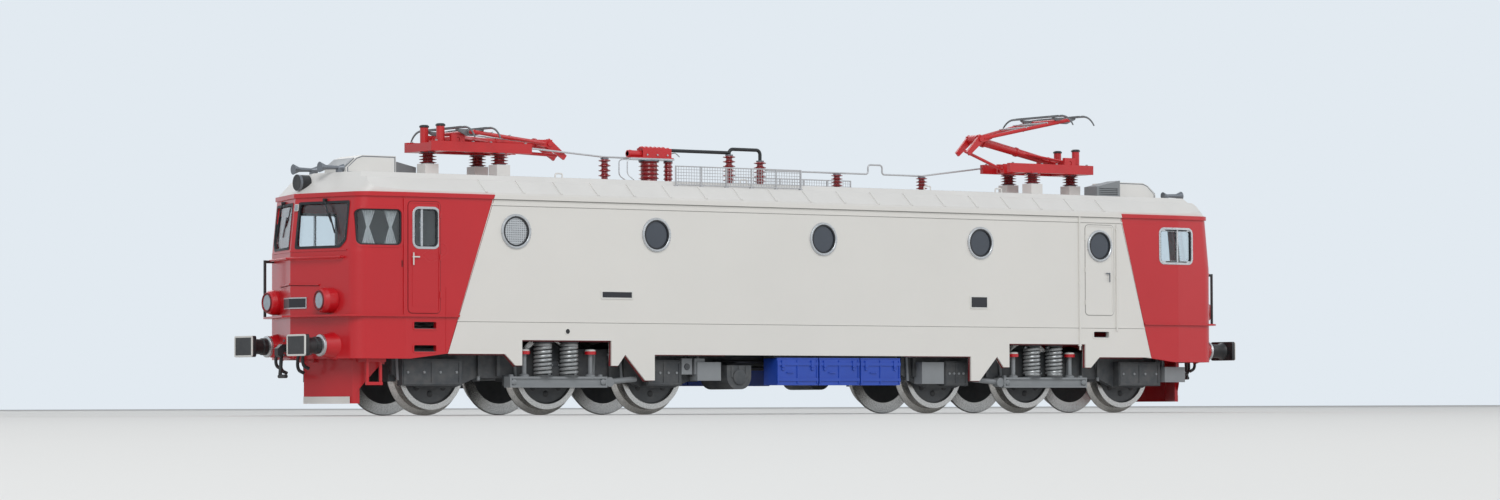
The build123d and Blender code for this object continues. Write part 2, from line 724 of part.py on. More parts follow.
# Cab glass: the part of a thin inner skin that lies in the openings
with BuildPart() as cab_glass:
    add(body_volume(inset=GLASS_OUT, high=SHELL_TOP_Z))
    add(body_volume(inset=GLASS_IN, low=BRACKET_Z - 1, high=SHELL_TOP_Z + 1), mode=Mode.SUBTRACT)
    add(window_prisms(), mode=Mode.INTERSECT)
    block((0, NOSE_X), (-HALF_WIDTH, HALF_WIDTH), (0, SHELL_TOP_Z), mode=Mode.INTERSECT)
save_both_ends(cab_glass, "cab_glass")

# Portholes: rings, panes, and the round grille of each side
with BuildPart() as rings:
    ring_sites = (*PORTHOLES_X, GRILLE_X)
    add(side_prisms(lambda s: disc_shapes(s, PORTHOLE_RING, ring_sites), HALF_WIDTH, HALF_WIDTH + 0.25))
    add(
        side_prisms(lambda s: disc_shapes(s, PORTHOLE_RADIUS, ring_sites), 14, 19),
        mode=Mode.SUBTRACT,
    )
save(rings, "porthole_rings")
with BuildPart() as panes:
    add(side_prisms(lambda s: disc_shapes(s, PORTHOLE_RADIUS, PORTHOLES_X), HALF_WIDTH - GLASS_IN, HALF_WIDTH))
save(panes, "porthole_panes")
with BuildPart() as side_grilles:
    add(side_prisms(lambda s: disc_shapes(s, PORTHOLE_RADIUS, (GRILLE_X,)), HALF_WIDTH - GLASS_IN, HALF_WIDTH))
save(side_grilles, "side_grilles")

# Buffers at each end
with BuildPart() as buffers:
    for side in (1, -1):
        head_back = HALF_OVER_BUFFERS - HEAD_THICK
        turned_about_x(
            side * BUFFER_Y,
            BUFFER_Z,
            [
                (BUFFER_CONE_X[1], 0),
                (BUFFER_CONE_X[1], COLLAR_RADIUS),
                (COLLAR_X, COLLAR_RADIUS),
                (COLLAR_X, SHANK_RADIUS),
                (head_back, SHANK_RADIUS),
                (head_back, 0),
            ],
        )
        with BuildSketch(Plane.YZ.offset(head_back)):
            with Locations((side * BUFFER_Y, BUFFER_Z)):
                RectangleRounded(*HEAD_SIZE, HEAD_RADIUS)
        extrude(amount=HEAD_THICK)
save_both_ends(buffers, "buffers")

# Coupling: draw hook with a hanging link
with BuildPart() as coupling:
    xz_plate([(PAD_X + out, z) for out, z in HOOK_OUTLINE], -HOOK_THICK / 2, HOOK_THICK / 2)
    for side in (1, -1):
        link_y = side * (HOOK_THICK / 2 + LINK_RADIUS)
        bar((PAD_X + LINK_X[0], link_y, LINK_Z[0]), (PAD_X + LINK_X[1], link_y, LINK_Z[1]), LINK_RADIUS)
    across = HOOK_THICK / 2 + 2 * LINK_RADIUS
    for out, z in zip(LINK_X, LINK_Z):
        bar((PAD_X + out, -across, z), (PAD_X + out, across, z), LINK_RADIUS)
save_both_ends(coupling, "coupling")

# Plough under each cab front, and the step beside it
with BuildPart() as plough:
    with BuildSketch(Plane.XY.offset(PLOUGH_Z[0])):
        with BuildLine():
            outer = Polyline(*PLOUGH_PLAN)
            inner = Polyline(*[(x - PLOUGH_THICK, y) for x, y in PLOUGH_PLAN])
            Line(outer @ 0, inner @ 0)
            Line(outer @ 1, inner @ 1)
        make_face()
    extrude(amount=PLOUGH_Z[1] - PLOUGH_Z[0])
    for y_from, y_to, x_high, x_low in PLOUGH_CUTS:
        z_high, z_low = PLOUGH_CUT_Z
        corner = [(0, 0), (0, z_high), (x_high, z_high), (x_low, z_low), (x_low, 0)]
        xz_plate(corner, y_from, y_to, mode=Mode.SUBTRACT)
    for step_x in STEP_X:
        bar((step_x, STEP_Y, STEP_LOW_Z), (step_x, STEP_Y, STEP_TOP_Z), STEP_BAR)
    across = (STEP_X[0] - STEP_BAR, STEP_X[1] + STEP_BAR)
    block(across, (STEP_Y - STEP_BAR, STEP_Y + STEP_BAR), (STEP_LOW_Z - STEP_BAR, STEP_LOW_Z + STEP_BAR))
    stay_x, front_stay_x = PLOUGH_STAY_X[:2], PLOUGH_STAY_X[::2]
    stay_y = (-PLOUGH_STAY_HALF, PLOUGH_STAY_HALF)
    block(stay_x, (-PLOUGH_STAY_HALF, STEP_Y + STEP_BAR), (PLOUGH_STAY_LOW_Z, STEP_TOP_Z))
    block(front_stay_x, stay_y, (PLOUGH_STAY_LOW_Z, PLOUGH_Z[1]))
    block(stay_x, stay_y, (PLOUGH_STAY_LOW_Z, FLOOR_Z[0]))
save_both_ends(plough, "plough")

# Corner handrail of each cab front
with BuildPart() as corner_rail:
    rail_root = front_x(CORNER_RAIL_Y)
    rail_foot_z = LEDGE_Z + LEDGE_THICK
    bar(
        (rail_root, CORNER_RAIL_Y, CORNER_RAIL_TOP_Z),
        (CORNER_RAIL_X, CORNER_RAIL_Y, CORNER_RAIL_TOP_Z),
        CORNER_RAIL_RADIUS,
    )
    bar(
        (CORNER_RAIL_X, CORNER_RAIL_Y, rail_foot_z),
        (CORNER_RAIL_X, CORNER_RAIL_Y, CORNER_RAIL_TOP_Z + CORNER_RAIL_RADIUS),
        CORNER_RAIL_RADIUS,
    )
    add(cab_shell.part, mode=Mode.SUBTRACT)
save_both_ends(corner_rail, "corner_rail")

# Lenses of the headlamps and roof lamps, all in one sub-part
with BuildPart() as lenses:
    for end in (1, -1):
        for side in (1, -1):
            start = (end * (LAMP_FACE_X - LENS_RECESS), side * LAMP_Y, LAMP_Z)
            finish = (end * (LAMP_FACE_X - 0.1), side * LAMP_Y, LAMP_Z)
            bar(start, finish, LENS_RADIUS - SEAM)
save(lenses, "headlamp_lenses")

# Roof lamps, each a drum on the sloped end of the roof
with BuildPart() as roof_lamps:
    for end in (1, -1):
        start = (end * ROOF_LAMP_X[0], 0, ROOF_LAMP_Z)
        finish = (end * ROOF_LAMP_X[1], 0, ROOF_LAMP_Z)
        bar(start, finish, ROOF_LAMP_RADIUS)
    add(roof.part, mode=Mode.SUBTRACT)
    add(shell.part, mode=Mode.SUBTRACT)
save(roof_lamps, "roof_lamps")

# Horns on the cab roofs
with BuildPart() as horns:
    for end in (1, -1):
        for y in HORN_Y:
            profile = [(end * HORN_X[0], 0)]
            profile += [(end * x, r) for x, r in zip(HORN_X, HORN_RADII)]
            profile += [(end * HORN_X[3], 0)]
            turned_about_x(y, HORN_Z, profile)
            foot_x = sorted(end * (HORN_X[0] + out) for out in HORN_FOOT_X)
            block(foot_x, (y - HORN_FOOT_HALF, y + HORN_FOOT_HALF), (ROOF_TOP_Z - HORN_FOOT_DEEP, HORN_Z))
    add(roof.part, mode=Mode.SUBTRACT)
save(horns, "horns")

# Roof boxes with sloped fronts, and the slanted louvre boxes beside them
with BuildPart() as roof_boxes:
    low_z, high_z = ROOF_BOX_Z
    back_x, front_top_x, front_low_x = ROOF_BOX_X
    for end in (1, -1):
        outline = [(back_x, ROOF_TOP_Z), (back_x, high_z), (front_top_x - 1.4, high_z)]
        outline += [(front_top_x, high_z - 0.5), (front_low_x, low_z), (front_low_x, ROOF_TOP_Z)]
        xz_plate([(end * x, z) for x, z in outline], -ROOF_BOX_HALF_Y, ROOF_BOX_HALF_Y)
save(roof_boxes, "roof_boxes")
with BuildPart() as louvres:
    for end in (1, -1):
        y_range = sorted(-end * y for y in LOUVRE_Y)
        outline = [
            (LOUVRE_X[0], ROOF_TOP_Z),
            (LOUVRE_X[0], LOUVRE_Z[0]),
            (LOUVRE_X[1], LOUVRE_Z[1]),
            (LOUVRE_X[1], ROOF_TOP_Z),
        ]
        xz_plate([(end * x, z) for x, z in outline], *y_range)
        slat_x = sorted(end * x for x in (LOUVRE_X[0] + SLAT_MARGIN, LOUVRE_X[1] - SLAT_MARGIN))
        slat_y = sorted((-end * (LOUVRE_Y[1] - SLAT_DEEP), -end * (LOUVRE_Y[1] + 1)))
        for slat_z in SLAT_Z:
            block(slat_x, slat_y, (slat_z, slat_z + SLAT_HEIGHT), mode=Mode.SUBTRACT)
save(louvres, "roof_louvres")

# Ribbed insulators: under the pantographs, along the roof and under the main switch
with BuildPart() as insulators:
    for end in (1, -1):
        for x, y in INSULATORS_XY:
            turned_about_z(end * x, end * y, shed_profile(PEDESTAL_TOP_Z, BASE_Z[0], 0.9, 1.7, 3))
    for x, top in POST_INSULATORS:
        turned_about_z(x, 0, shed_profile(ROOF_TOP_Z, top, 0.6, 1.2, 4))
    for x, top in BUSHINGS:
        turned_about_z(x, 0, shed_profile(ROOF_TOP_Z, top, 0.6, 1.25, 5))
    for x, radius in SWITCH_INSULATORS:
        turned_about_z(x, 0, shed_profile(ROOF_TOP_Z, SWITCH_Z[0], radius * 0.75, radius, 4))
save(insulators, "roof_insulators")

# Main switch on top of its insulators
with BuildPart() as main_switch:
    plate_half, body_half = SWITCH_HALF_Y
    block(SWITCH_X, (-plate_half, plate_half), SWITCH_Z[:2])
    block(SWITCH_BODY_X, (-body_half, body_half), SWITCH_Z[1:])
    arm_end = (sum(SWITCH_BODY_X) / 2, 0, SWITCH_ARM_Z)
    bar((SWITCH_X[0], 0, SWITCH_ARM_Z), arm_end, SWITCH_ARM_RADIUS)
save(main_switch, "main_switch")

# Thick cables from the switch over the bushings, stiff enough to keep their shape
with BuildPart() as cables:
    cable_z = BUSHINGS[0][1] + CABLE_RADIUS
    bar((SWITCH_BODY_X[1], 0, cable_z), (BUSHINGS[0][0], 0, cable_z), CABLE_RADIUS)
    bent_wire(
        [
            (BUSHINGS[0][0], 0, BUSHINGS[0][1]),
            (BUSHINGS[0][0], 0, CABLE_TOP_Z),
            (BUSHINGS[1][0], 0, CABLE_TOP_Z),
            (BUSHINGS[1][0], 0, BUSHINGS[1][1]),
        ],
        CABLE_RADIUS,
        CABLE_BEND,
    )
save(cables, "bus_cables")

# Thin roof wires from one pantograph to the switch, and from the bushings to the other
with BuildPart() as wires:
    first_top = POST_INSULATORS[0][1] + WIRE_RADIUS
    first_post = (POST_INSULATORS[0][0], 0, first_top)
    bar((-BASE_X[0] + WIRE_GAP, -WIRE_END_Y, BASE_Z[1] - WIRE_END_DROP), first_post, WIRE_RADIUS)
    bar(first_post, (SWITCH_X[0], 0, first_top), WIRE_RADIUS)
    second_top = POST_INSULATORS[1][1] + WIRE_RADIUS
    bent_wire(
        [
            (BUSHINGS[1][0] + WIRE_FROM_BUSHING, 0, second_top),
            (WIRE_LOOP_X[0], 0, second_top),
            (WIRE_LOOP_X[0], 0, WIRE_LOOP_Z),
            (WIRE_LOOP_X[1], 0, WIRE_LOOP_Z),
            (WIRE_LOOP_X[1], 0, second_top),
            (POST_INSULATORS[2][0], 0, second_top),
            (BASE_X[0] - WIRE_GAP, WIRE_END_Y, BASE_Z[1] - WIRE_END_DROP),
        ],
        WIRE_RADIUS,
        WIRE_BEND,
    )
save(wires, "roof_wires")

# Mesh fences along the roof edges
with BuildPart() as fences:
    for sign in (1, -1):
        panel = (FENCE_X[1] - FENCE_X[0]) / FENCE_PANELS
        y_range = sorted((-sign * FENCE_Y, -sign * (FENCE_Y + FENCE_BAR)))
        x_range = sorted((sign * FENCE_X[0], sign * (FENCE_X[1] + FENCE_BAR)))
        for number in range(FENCE_PANELS + 1):
            post_x = FENCE_X[0] + number * panel
            post = sorted((sign * post_x, sign * (post_x + FENCE_BAR)))
            block(post, y_range, (WALKWAY_Z, FENCE_TOP_Z))
        rail_pitch = (FENCE_TOP_Z - WALKWAY_Z - 2 * FENCE_BAR) / (FENCE_RAILS - 1)
        for number in range(FENCE_RAILS):
            rail_z = WALKWAY_Z + FENCE_BAR + number * rail_pitch
            block(x_range, y_range, (rail_z, rail_z + FENCE_BAR))
        wire_pitch = panel / (FENCE_WIRES + 1)
        wire_y = -sign * (FENCE_Y + FENCE_BAR / 2)
        wire_y_range = (wire_y - FENCE_WIRE / 2, wire_y + FENCE_WIRE / 2)
        wire_z_range = (WALKWAY_Z + FENCE_BAR, WALKWAY_Z + FENCE_BAR + (FENCE_RAILS - 1) * rail_pitch)
        for number in range(FENCE_PANELS):
            for step in range(1, FENCE_WIRES + 1):
                wire_x = sign * (FENCE_X[0] + FENCE_BAR / 2 + number * panel + step * wire_pitch)
                block((wire_x - FENCE_WIRE / 2, wire_x + FENCE_WIRE / 2), wire_y_range, wire_z_range)
save(fences, "mesh_fences")

# Battery boxes in rows of three, and tanks next to them
with BuildPart() as batteries:
    for end in (1, -1):
        pitch = (BATTERY_X[1] - BATTERY_X[0] + BATTERY_GAP) / 3
        y_range = sorted(end * y for y in BATTERY_Y)
        for number in range(3):
            low_x = BATTERY_X[0] + number * pitch
            x_range = sorted((end * low_x, end * (low_x + pitch - BATTERY_GAP)))
            block(x_range, y_range, BATTERY_Z)
            strap_y = sorted((end * BATTERY_Y[0], end * (BATTERY_Y[1] + STRAP_OUT)))
            for strap_z in BATTERY_STRAPS_Z:
                block(x_range, strap_y, strap_z)
save(batteries, "battery_boxes")
with BuildPart() as tanks:
    for end in (1, -1):
        for side in (1, -1):
            x_range = sorted(end * x for x in TANK_X)
            y_range = sorted(side * y for y in TANK_Y)
            if end * side > 0:
                block(x_range, y_range, (TANK_LOW_Z, SILL_LOW_Z))
    fillet(tanks.edges().filter_by(Axis.Y).group_by(Axis.Z)[0], TANK_RADIUS)
save(tanks, "tanks")

# Bogie frames: side plates with axleboxes, a long bolster round the pivot, and crosswise beams
with BuildPart() as bogie_frame:
    end_low_z = FRAME_ARCH_Z + FRAME_END_RISE
    u_points = [(FRAME_U[0], FRAME_TOP_Z), (FRAME_U[1], FRAME_TOP_Z), (FRAME_U[1], end_low_z)]
    for axle in (OUTER_AXLE, 0, INNER_AXLE):
        if axle != OUTER_AXLE:
            u_points.append((axle + AXLE_ARCH_HALF, FRAME_ARCH_Z))
        u_points += [(axle + AXLE_LUG_HALF, FRAME_LOW_Z), (axle - AXLE_LUG_HALF, FRAME_LOW_Z)]
        if axle != INNER_AXLE:
            u_points.append((axle - AXLE_ARCH_HALF, FRAME_ARCH_Z))
    u_points.append((FRAME_U[0], end_low_z))
    xz_plate([(PIVOT_X + u, z) for u, z in u_points], FRAME_INNER_Y, FRAME_OUTER_Y)
    mirror(about=Plane.XZ)
    for side, u_from, u_to, low, high in AXLEBOXES:
        y_range = sorted((side * FRAME_OUTER_Y, side * AXLEBOX_OUT_Y))
        block((PIVOT_X + u_from, PIVOT_X + u_to), y_range, (low, high))
    for axle in (OUTER_AXLE, 0, INNER_AXLE):
        bar(
            (PIVOT_X + axle, -STUB_END_Y - RUNNING_FIT, AXLE_Z),
            (PIVOT_X + axle, STUB_END_Y + RUNNING_FIT, AXLE_Z),
            STUB_RADIUS + RUNNING_FIT,
            mode=Mode.SUBTRACT,
        )
    block((PIVOT_X + FRAME_U[0], PIVOT_X + FRAME_U[1]), (-BOLSTER_HALF, BOLSTER_HALF), BOLSTER_Z)
    for u_from, u_to in (*END_BEAMS_U, *MID_BEAMS_U):
        block((PIVOT_X + u_from, PIVOT_X + u_to), (-FRAME_INNER_Y, FRAME_INNER_Y), BOLSTER_Z)
    bar(
        (PIVOT_X, 0, BOLSTER_Z[0] - 1),
        (PIVOT_X, 0, BOLSTER_Z[1] + 1),
        PIVOT_RADIUS + RUNNING_FIT,
        mode=Mode.SUBTRACT,
    )
    for side in (1, -1):
        for u in (BEAM_U[0] + BEAM_STAY_U, BEAM_U[1] - BEAM_STAY_U):
            x_range = (PIVOT_X + u - BEAM_STAY_HALF, PIVOT_X + u + BEAM_STAY_HALF)
            y_range = sorted((side * FRAME_OUTER_Y, side * BEAM_Y[0]))
            block(x_range, y_range, (BEAM_Z[0] + SPRING_GAP, BEAM_Z[1] + SPRING_GAP))
    with BuildPart(mode=Mode.PRIVATE) as brakes:
        sweep_radius = TREAD_RADIUS + FLANGE_DEPTH + BRAKE_GAP
        for side in (1, -1):
            shoe_y = sorted(side * y for y in BRAKE_Y)
            for axle in (OUTER_AXLE, 0, INNER_AXLE):
                axle_x = PIVOT_X + axle
                for way in (1, -1):
                    shoe_x = sorted(axle_x + way * (sweep_radius + out) for out in (-BRAKE_THICK, BRAKE_THICK))
                    block(shoe_x, shoe_y, BRAKE_Z)
                bar(
                    (axle_x, side * (BRAKE_Y[0] - 1), AXLE_Z),
                    (axle_x, side * (BRAKE_Y[1] + 1), AXLE_Z),
                    sweep_radius,
                    mode=Mode.SUBTRACT,
                )
    add(brakes.part)
save_both_ends(bogie_frame, "bogie_frame")

# Channel beams with their posts and traction rods, and the sandboxes
with BuildPart() as bogie_gear:
    for side in (1, -1):
        y_range = sorted(side * y for y in BEAM_Y)
        block((PIVOT_X + BEAM_U[0], PIVOT_X + BEAM_U[1]), y_range, BEAM_Z)
        channel_y = sorted((side * (BEAM_Y[1] - CHANNEL_DEEP), side * (BEAM_Y[1] + 1)))
        block(
            (PIVOT_X + BEAM_U[0] + CHANNEL_EDGE, PIVOT_X + BEAM_U[1] - CHANNEL_EDGE),
            channel_y,
            (BEAM_Z[0] + CHANNEL_EDGE, BEAM_Z[1] - CHANNEL_EDGE),
            mode=Mode.SUBTRACT,
        )
        mid_y = side * sum(BEAM_Y) / 2
        cap_radius, cap_height = POST_CAP
        for u in POSTS_U:
            post_x = PIVOT_X + u
            bar((post_x, mid_y, BEAM_Z[1]), (post_x, mid_y, POST_TOP_Z), POST_RADIUS)
            bar((post_x, mid_y, POST_TOP_Z), (post_x, mid_y, POST_TOP_Z + cap_height), cap_radius)
        bar((PIVOT_X + BEAM_U[0], mid_y, ROD_Z[0]), (PIVOT_X + ROD_END_U, mid_y, ROD_Z[1]), ROD_RADIUS)
    for side, u_from, u_to, low, high in SANDBOXES:
        y_range = sorted((side * FRAME_OUTER_Y, side * SANDBOX_OUT_Y))
        block((PIVOT_X + u_from, PIVOT_X + u_to), y_range, (low, high))
save_both_ends(bogie_gear, "bogie_gear")

# Coil springs that stand on the beams, just clear of their seats on the underframe
with BuildPart() as springs:
    for side in (1, -1):
        for u in SPRINGS_U:
            inner = SPRING_RADIUS - SPRING_WIRE
            profile = shed_profile(BEAM_Z[1], SPRING_TOP_Z, inner, SPRING_RADIUS, SPRING_TURNS)
            turned_about_z(PIVOT_X + u, side * sum(BEAM_Y) / 2, profile)
save_both_ends(springs, "bogie_springs")

# Wheelsets, numbered from the -X end: two wheels on one axle
wheel_half = [
    (AXLE_RADIUS, 0),
    (AXLE_RADIUS, BACK_TO_BACK_HALF),
    (TREAD_RADIUS + FLANGE_DEPTH - 0.15, BACK_TO_BACK_HALF),
    (TREAD_RADIUS + FLANGE_DEPTH, BACK_TO_BACK_HALF + 0.2),
    (TREAD_RADIUS + FLANGE_DEPTH, BACK_TO_BACK_HALF + 0.4),
    (TREAD_RADIUS, BACK_TO_BACK_HALF + FLANGE_WIDTH),
    (TREAD_RADIUS - 0.1, BACK_TO_BACK_HALF + WHEEL_WIDTH),
    (TREAD_RADIUS - 0.1 - RIM_THICK, BACK_TO_BACK_HALF + WHEEL_WIDTH),
    (TREAD_RADIUS - 0.4 - RIM_THICK, BACK_TO_BACK_HALF + WHEEL_WIDTH - DISC_RECESS),
    (HUB_RADIUS + 0.3, BACK_TO_BACK_HALF + WHEEL_WIDTH - DISC_RECESS),
    (HUB_RADIUS, BACK_TO_BACK_HALF + WHEEL_WIDTH + HUB_OUT),
    (STUB_RADIUS, BACK_TO_BACK_HALF + WHEEL_WIDTH + HUB_OUT),
    (STUB_RADIUS, STUB_END_Y),
    (0, STUB_END_Y),
]
wheel_profile = wheel_half[1:] + [(r, -y) for r, y in reversed(wheel_half[1:])]
axle_places = [end * (PIVOT_X + axle) for end in (1, -1) for axle in (OUTER_AXLE, 0, INNER_AXLE)]
for number, axle_x in enumerate(sorted(axle_places), start=1):
    with BuildPart() as wheelset:
        with BuildSketch(Plane(origin=(axle_x, 0, AXLE_Z), x_dir=(0, 0, 1), z_dir=(-1, 0, 0))):
            with BuildLine():
                Polyline(*wheel_profile, close=True)
            make_face()
        revolve(axis=Axis((axle_x, 0, AXLE_Z), (0, 1, 0)))
    save(wheelset, f"wheelset_{number}")

# Fixed frames of the pantographs
with BuildPart() as pantograph_base:
    for side in (1, -1):
        beam_y = sorted(side * y for y in BASE_Y)
        block(BASE_X, beam_y, BASE_Z)
        lug_y = sorted((side * BASE_Y[0], side * (BASE_Y[0] + LUG_THICK)))
        block((ARM_FOOT[0] - LUG_HALF, ARM_FOOT[0] + LUG_HALF), lug_y, (BASE_Z[1], ARM_FOOT[1] + LUG_ABOVE))
        post_x, post_y, post_radius, post_top = BUFFER_POST
        bar((post_x, side * post_y, sum(BASE_Z) / 2), (post_x, side * post_y, post_top), post_radius)
        foot_y = sorted(side * y for y in ROD_FOOT_Y)
        block((ROD_FOOT[0] - ROD_FOOT_Y[0], INNER_BEAM_X[0]), foot_y, BASE_Z)
    inner_step, outer_step = BEAM_STEPS
    block(INNER_BEAM_X, (-BASE_Y[0], BASE_Y[0]), (BASE_Z[0], BASE_Z[1] - inner_step))
    block(OUTER_BEAM_X, (-BASE_Y[0], BASE_Y[0]), (BASE_Z[0], BASE_Z[1] - outer_step))
    arm_pin_half = BASE_Y[1] + 1
    bar(
        (ARM_FOOT[0], -arm_pin_half, ARM_FOOT[1]),
        (ARM_FOOT[0], arm_pin_half, ARM_FOOT[1]),
        PIN_RADIUS + RUNNING_FIT,
        mode=Mode.SUBTRACT,
    )
    pin_half = sum(ROD_FOOT_Y) / 2
    bar((ROD_FOOT[0], -pin_half, ROD_FOOT[1]), (ROD_FOOT[0], pin_half, ROD_FOOT[1]), ROD_FOOT_PIN)
save_both_ends(pantograph_base, "pantograph_base")


def turn(point, centre, degrees):
    """A point in (x, z), turned about a centre. Positive lifts what lies towards the middle."""
    angle = math.radians(degrees)
    dx, dz = point[0] - centre[0], point[1] - centre[1]
    return (
        centre[0] + dx * math.cos(angle) + dz * math.sin(angle),
        centre[1] - dx * math.sin(angle) + dz * math.cos(angle),
    )


def pantograph_points(lift):
    """Knee, head pivot and rod eye after the lower arm has turned by lift degrees."""
    knee = turn(KNEE, ARM_FOOT, lift)
    shift = (knee[0] - KNEE[0], knee[1] - KNEE[1])
    moved = [turn(point, KNEE, -UPPER_RATIO * lift) for point in (HEAD_PIVOT, ROD_EYE)]
    head, eye = [(x + shift[0], z + shift[1]) for x, z in moved]
    return knee, head, eye


def along(start, end, distance):
    """The point at a distance from start towards end, in (x, z)."""
    length = math.dist(start, end)
    return tuple(s + (e - s) * distance / length for s, e in zip(start, end))


def at_y(point, y):
    """A point in space, from (x, z) and y."""
    return (point[0], y, point[1])


for number, lift in ((1, -FOLD_DEG), (2, 0.0)):
    knee, head, eye = pantograph_points(lift)
    half_turn = 180 if number == 1 else 0

    # Lower arm: a tapered tube between the barrel at its foot and the one at the knee
    with BuildPart() as arm:
        barrel_radius, barrel_half = ARM_BARREL
        knee_radius, knee_half = KNEE_BARREL
        bar(at_y(ARM_FOOT, -barrel_half), at_y(ARM_FOOT, barrel_half), barrel_radius)
        bar(at_y(ARM_FOOT, -BASE_Y[0] - 0.6), at_y(ARM_FOOT, BASE_Y[0] + 0.6), PIN_RADIUS)
        run = Vector(*at_y(knee, 0)) - Vector(*at_y(ARM_FOOT, 0))
        with BuildSketch(Plane(origin=at_y(ARM_FOOT, 0), z_dir=run)):
            Circle(ARM_RADII[0])
        with BuildSketch(Plane(origin=at_y(knee, 0), z_dir=run)):
            Circle(ARM_RADII[1])
        loft()
        bar(at_y(knee, -knee_half), at_y(knee, knee_half), knee_radius)
        bar(at_y(knee, -knee_half - 1), at_y(knee, knee_half + 1), PIN_RADIUS + RUNNING_FIT, mode=Mode.SUBTRACT)
    with BuildPart() as lower_arm:
        add(arm.part.rotate(Axis.Z, half_turn))
    save(lower_arm, f"pantograph_lower_arm_{number}")

    # Upper arm: two cheeks at the knee that run back to the rod's eye, and a fork of two tubes
    with BuildPart() as fork:
        bar(at_y(knee, -CHEEK_Y[1]), at_y(knee, CHEEK_Y[1]), PIN_RADIUS)
        toward_head = along(knee, head, CHEEK_REACH)
        tail = along(knee, eye, math.dist(knee, eye) + TAIL_PAST_EYE)
        for side in (1, -1):
            cheek_y = sorted(side * y for y in CHEEK_Y)
            for end in (toward_head, tail):
                run = Vector(end[0] - knee[0], 0, end[1] - knee[1]).normalized()
                normal = Vector(-run.Z, 0, run.X) * CHEEK_HALF
                back = (knee[0] - run.X * CHEEK_BACK, knee[1] - run.Z * CHEEK_BACK)
                corners = [
                    (back[0] + normal.X, back[1] + normal.Z),
                    (end[0] + normal.X * CHEEK_TAPER, end[1] + normal.Z * CHEEK_TAPER),
                    (end[0] - normal.X * CHEEK_TAPER, end[1] - normal.Z * CHEEK_TAPER),
                    (back[0] - normal.X, back[1] - normal.Z),
                ]
                xz_plate(corners, *cheek_y)
            root = at_y(along(knee, head, CHEEK_REACH / 3), side * sum(CHEEK_Y) / 2)
            tip = at_y(head, side * (CROSS_TUBE_HALF - 0.4))
            bar(root, tip, UPPER_TUBE_RADIUS)
        bar(at_y(head, -CROSS_TUBE_HALF), at_y(head, CROSS_TUBE_HALF), UPPER_TUBE_RADIUS)
    with BuildPart() as upper_arm:
        add(fork.part.rotate(Axis.Z, half_turn))
    save(upper_arm, f"pantograph_upper_arm_{number}")

    # Head: two hangers round the cross tube carry two contact strips with down-turned horns
    with BuildPart() as strips:
        half = STRIP_SPACING / 2
        for side in (1, -1):
            hanger_y = sorted(side * y for y in HANGER_Y)
            wide = half + HANGER_PAST_STRIP
            narrow, drop = HANGER_LOW
            outline = [
                (head[0] - wide, head[1] + STRIP_RISE),
                (head[0] + wide, head[1] + STRIP_RISE),
                (head[0] + narrow, head[1] - drop),
                (head[0] - narrow, head[1] - drop),
            ]
            xz_plate(outline, *hanger_y)
        bore = UPPER_TUBE_RADIUS + RUNNING_FIT
        bar(at_y(head, -CROSS_TUBE_HALF), at_y(head, CROSS_TUBE_HALF), bore, mode=Mode.SUBTRACT)
        for offset_x in (-half, half):
            strip_z = head[1] + STRIP_RISE + STRIP_HEIGHT / 2
            strip_x = head[0] + offset_x
            for side in (1, -1):
                with BuildLine() as path:
                    reach = Line((strip_x, 0, strip_z), (strip_x, side * STRIP_HALF, strip_z))
                    radius, sweep_angle = HORN_ARC
                    angle = math.radians(sweep_angle)
                    middle = math.radians(sweep_angle / 2)
                    ThreePointArc(
                        reach @ 1,
                        (
                            strip_x,
                            side * (STRIP_HALF + radius * math.sin(middle)),
                            strip_z - radius * (1 - math.cos(middle)),
                        ),
                        (
                            strip_x,
                            side * (STRIP_HALF + radius * math.sin(angle)),
                            strip_z - radius * (1 - math.cos(angle)),
                        ),
                    )
                with BuildSketch(Plane(origin=(strip_x, 0, strip_z), x_dir=(1, 0, 0), z_dir=(0, side, 0))):
                    Rectangle(STRIP_WIDTH, STRIP_HEIGHT)
                sweep(path=path.line)
    with BuildPart() as pan_head:
        add(strips.part.rotate(Axis.Z, half_turn))
    save(pan_head, f"pantograph_head_{number}")

    # Thrust rod from its foot on the frame to just short of its eye between the cheeks
    with BuildPart() as thrust:
        eye_radius, eye_bore, eye_half = THRUST_EYE
        bar(at_y(along(ROD_FOOT, eye, eye_bore), 0), at_y(eye, 0), THRUST_RADIUS)
        bar(at_y(ROD_FOOT, -eye_half), at_y(ROD_FOOT, eye_half), eye_radius)
        bar(at_y(ROD_FOOT, -1), at_y(ROD_FOOT, 1), eye_bore, mode=Mode.SUBTRACT)
    with BuildPart() as thrust_rod:
        add(thrust.part.rotate(Axis.Z, half_turn))
    save(thrust_rod, f"pantograph_rod_{number}")
    print("pantograph", number, "knee", knee, "head", head, "eye", eye)
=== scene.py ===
# A 1:87 model of a six-axle electric locomotive in its red, white and blue finish.
# Sizes and places are in millimetres, in the model's own frame, and become metres in Shape.finish.
# The near side is -Y. What each end or side has is drawn once, at -X or on the near side, and the
# other end or side gets the same form turned half a turn about the middle.
import math

import bmesh
import bpy
from mathutils import Matrix, Vector


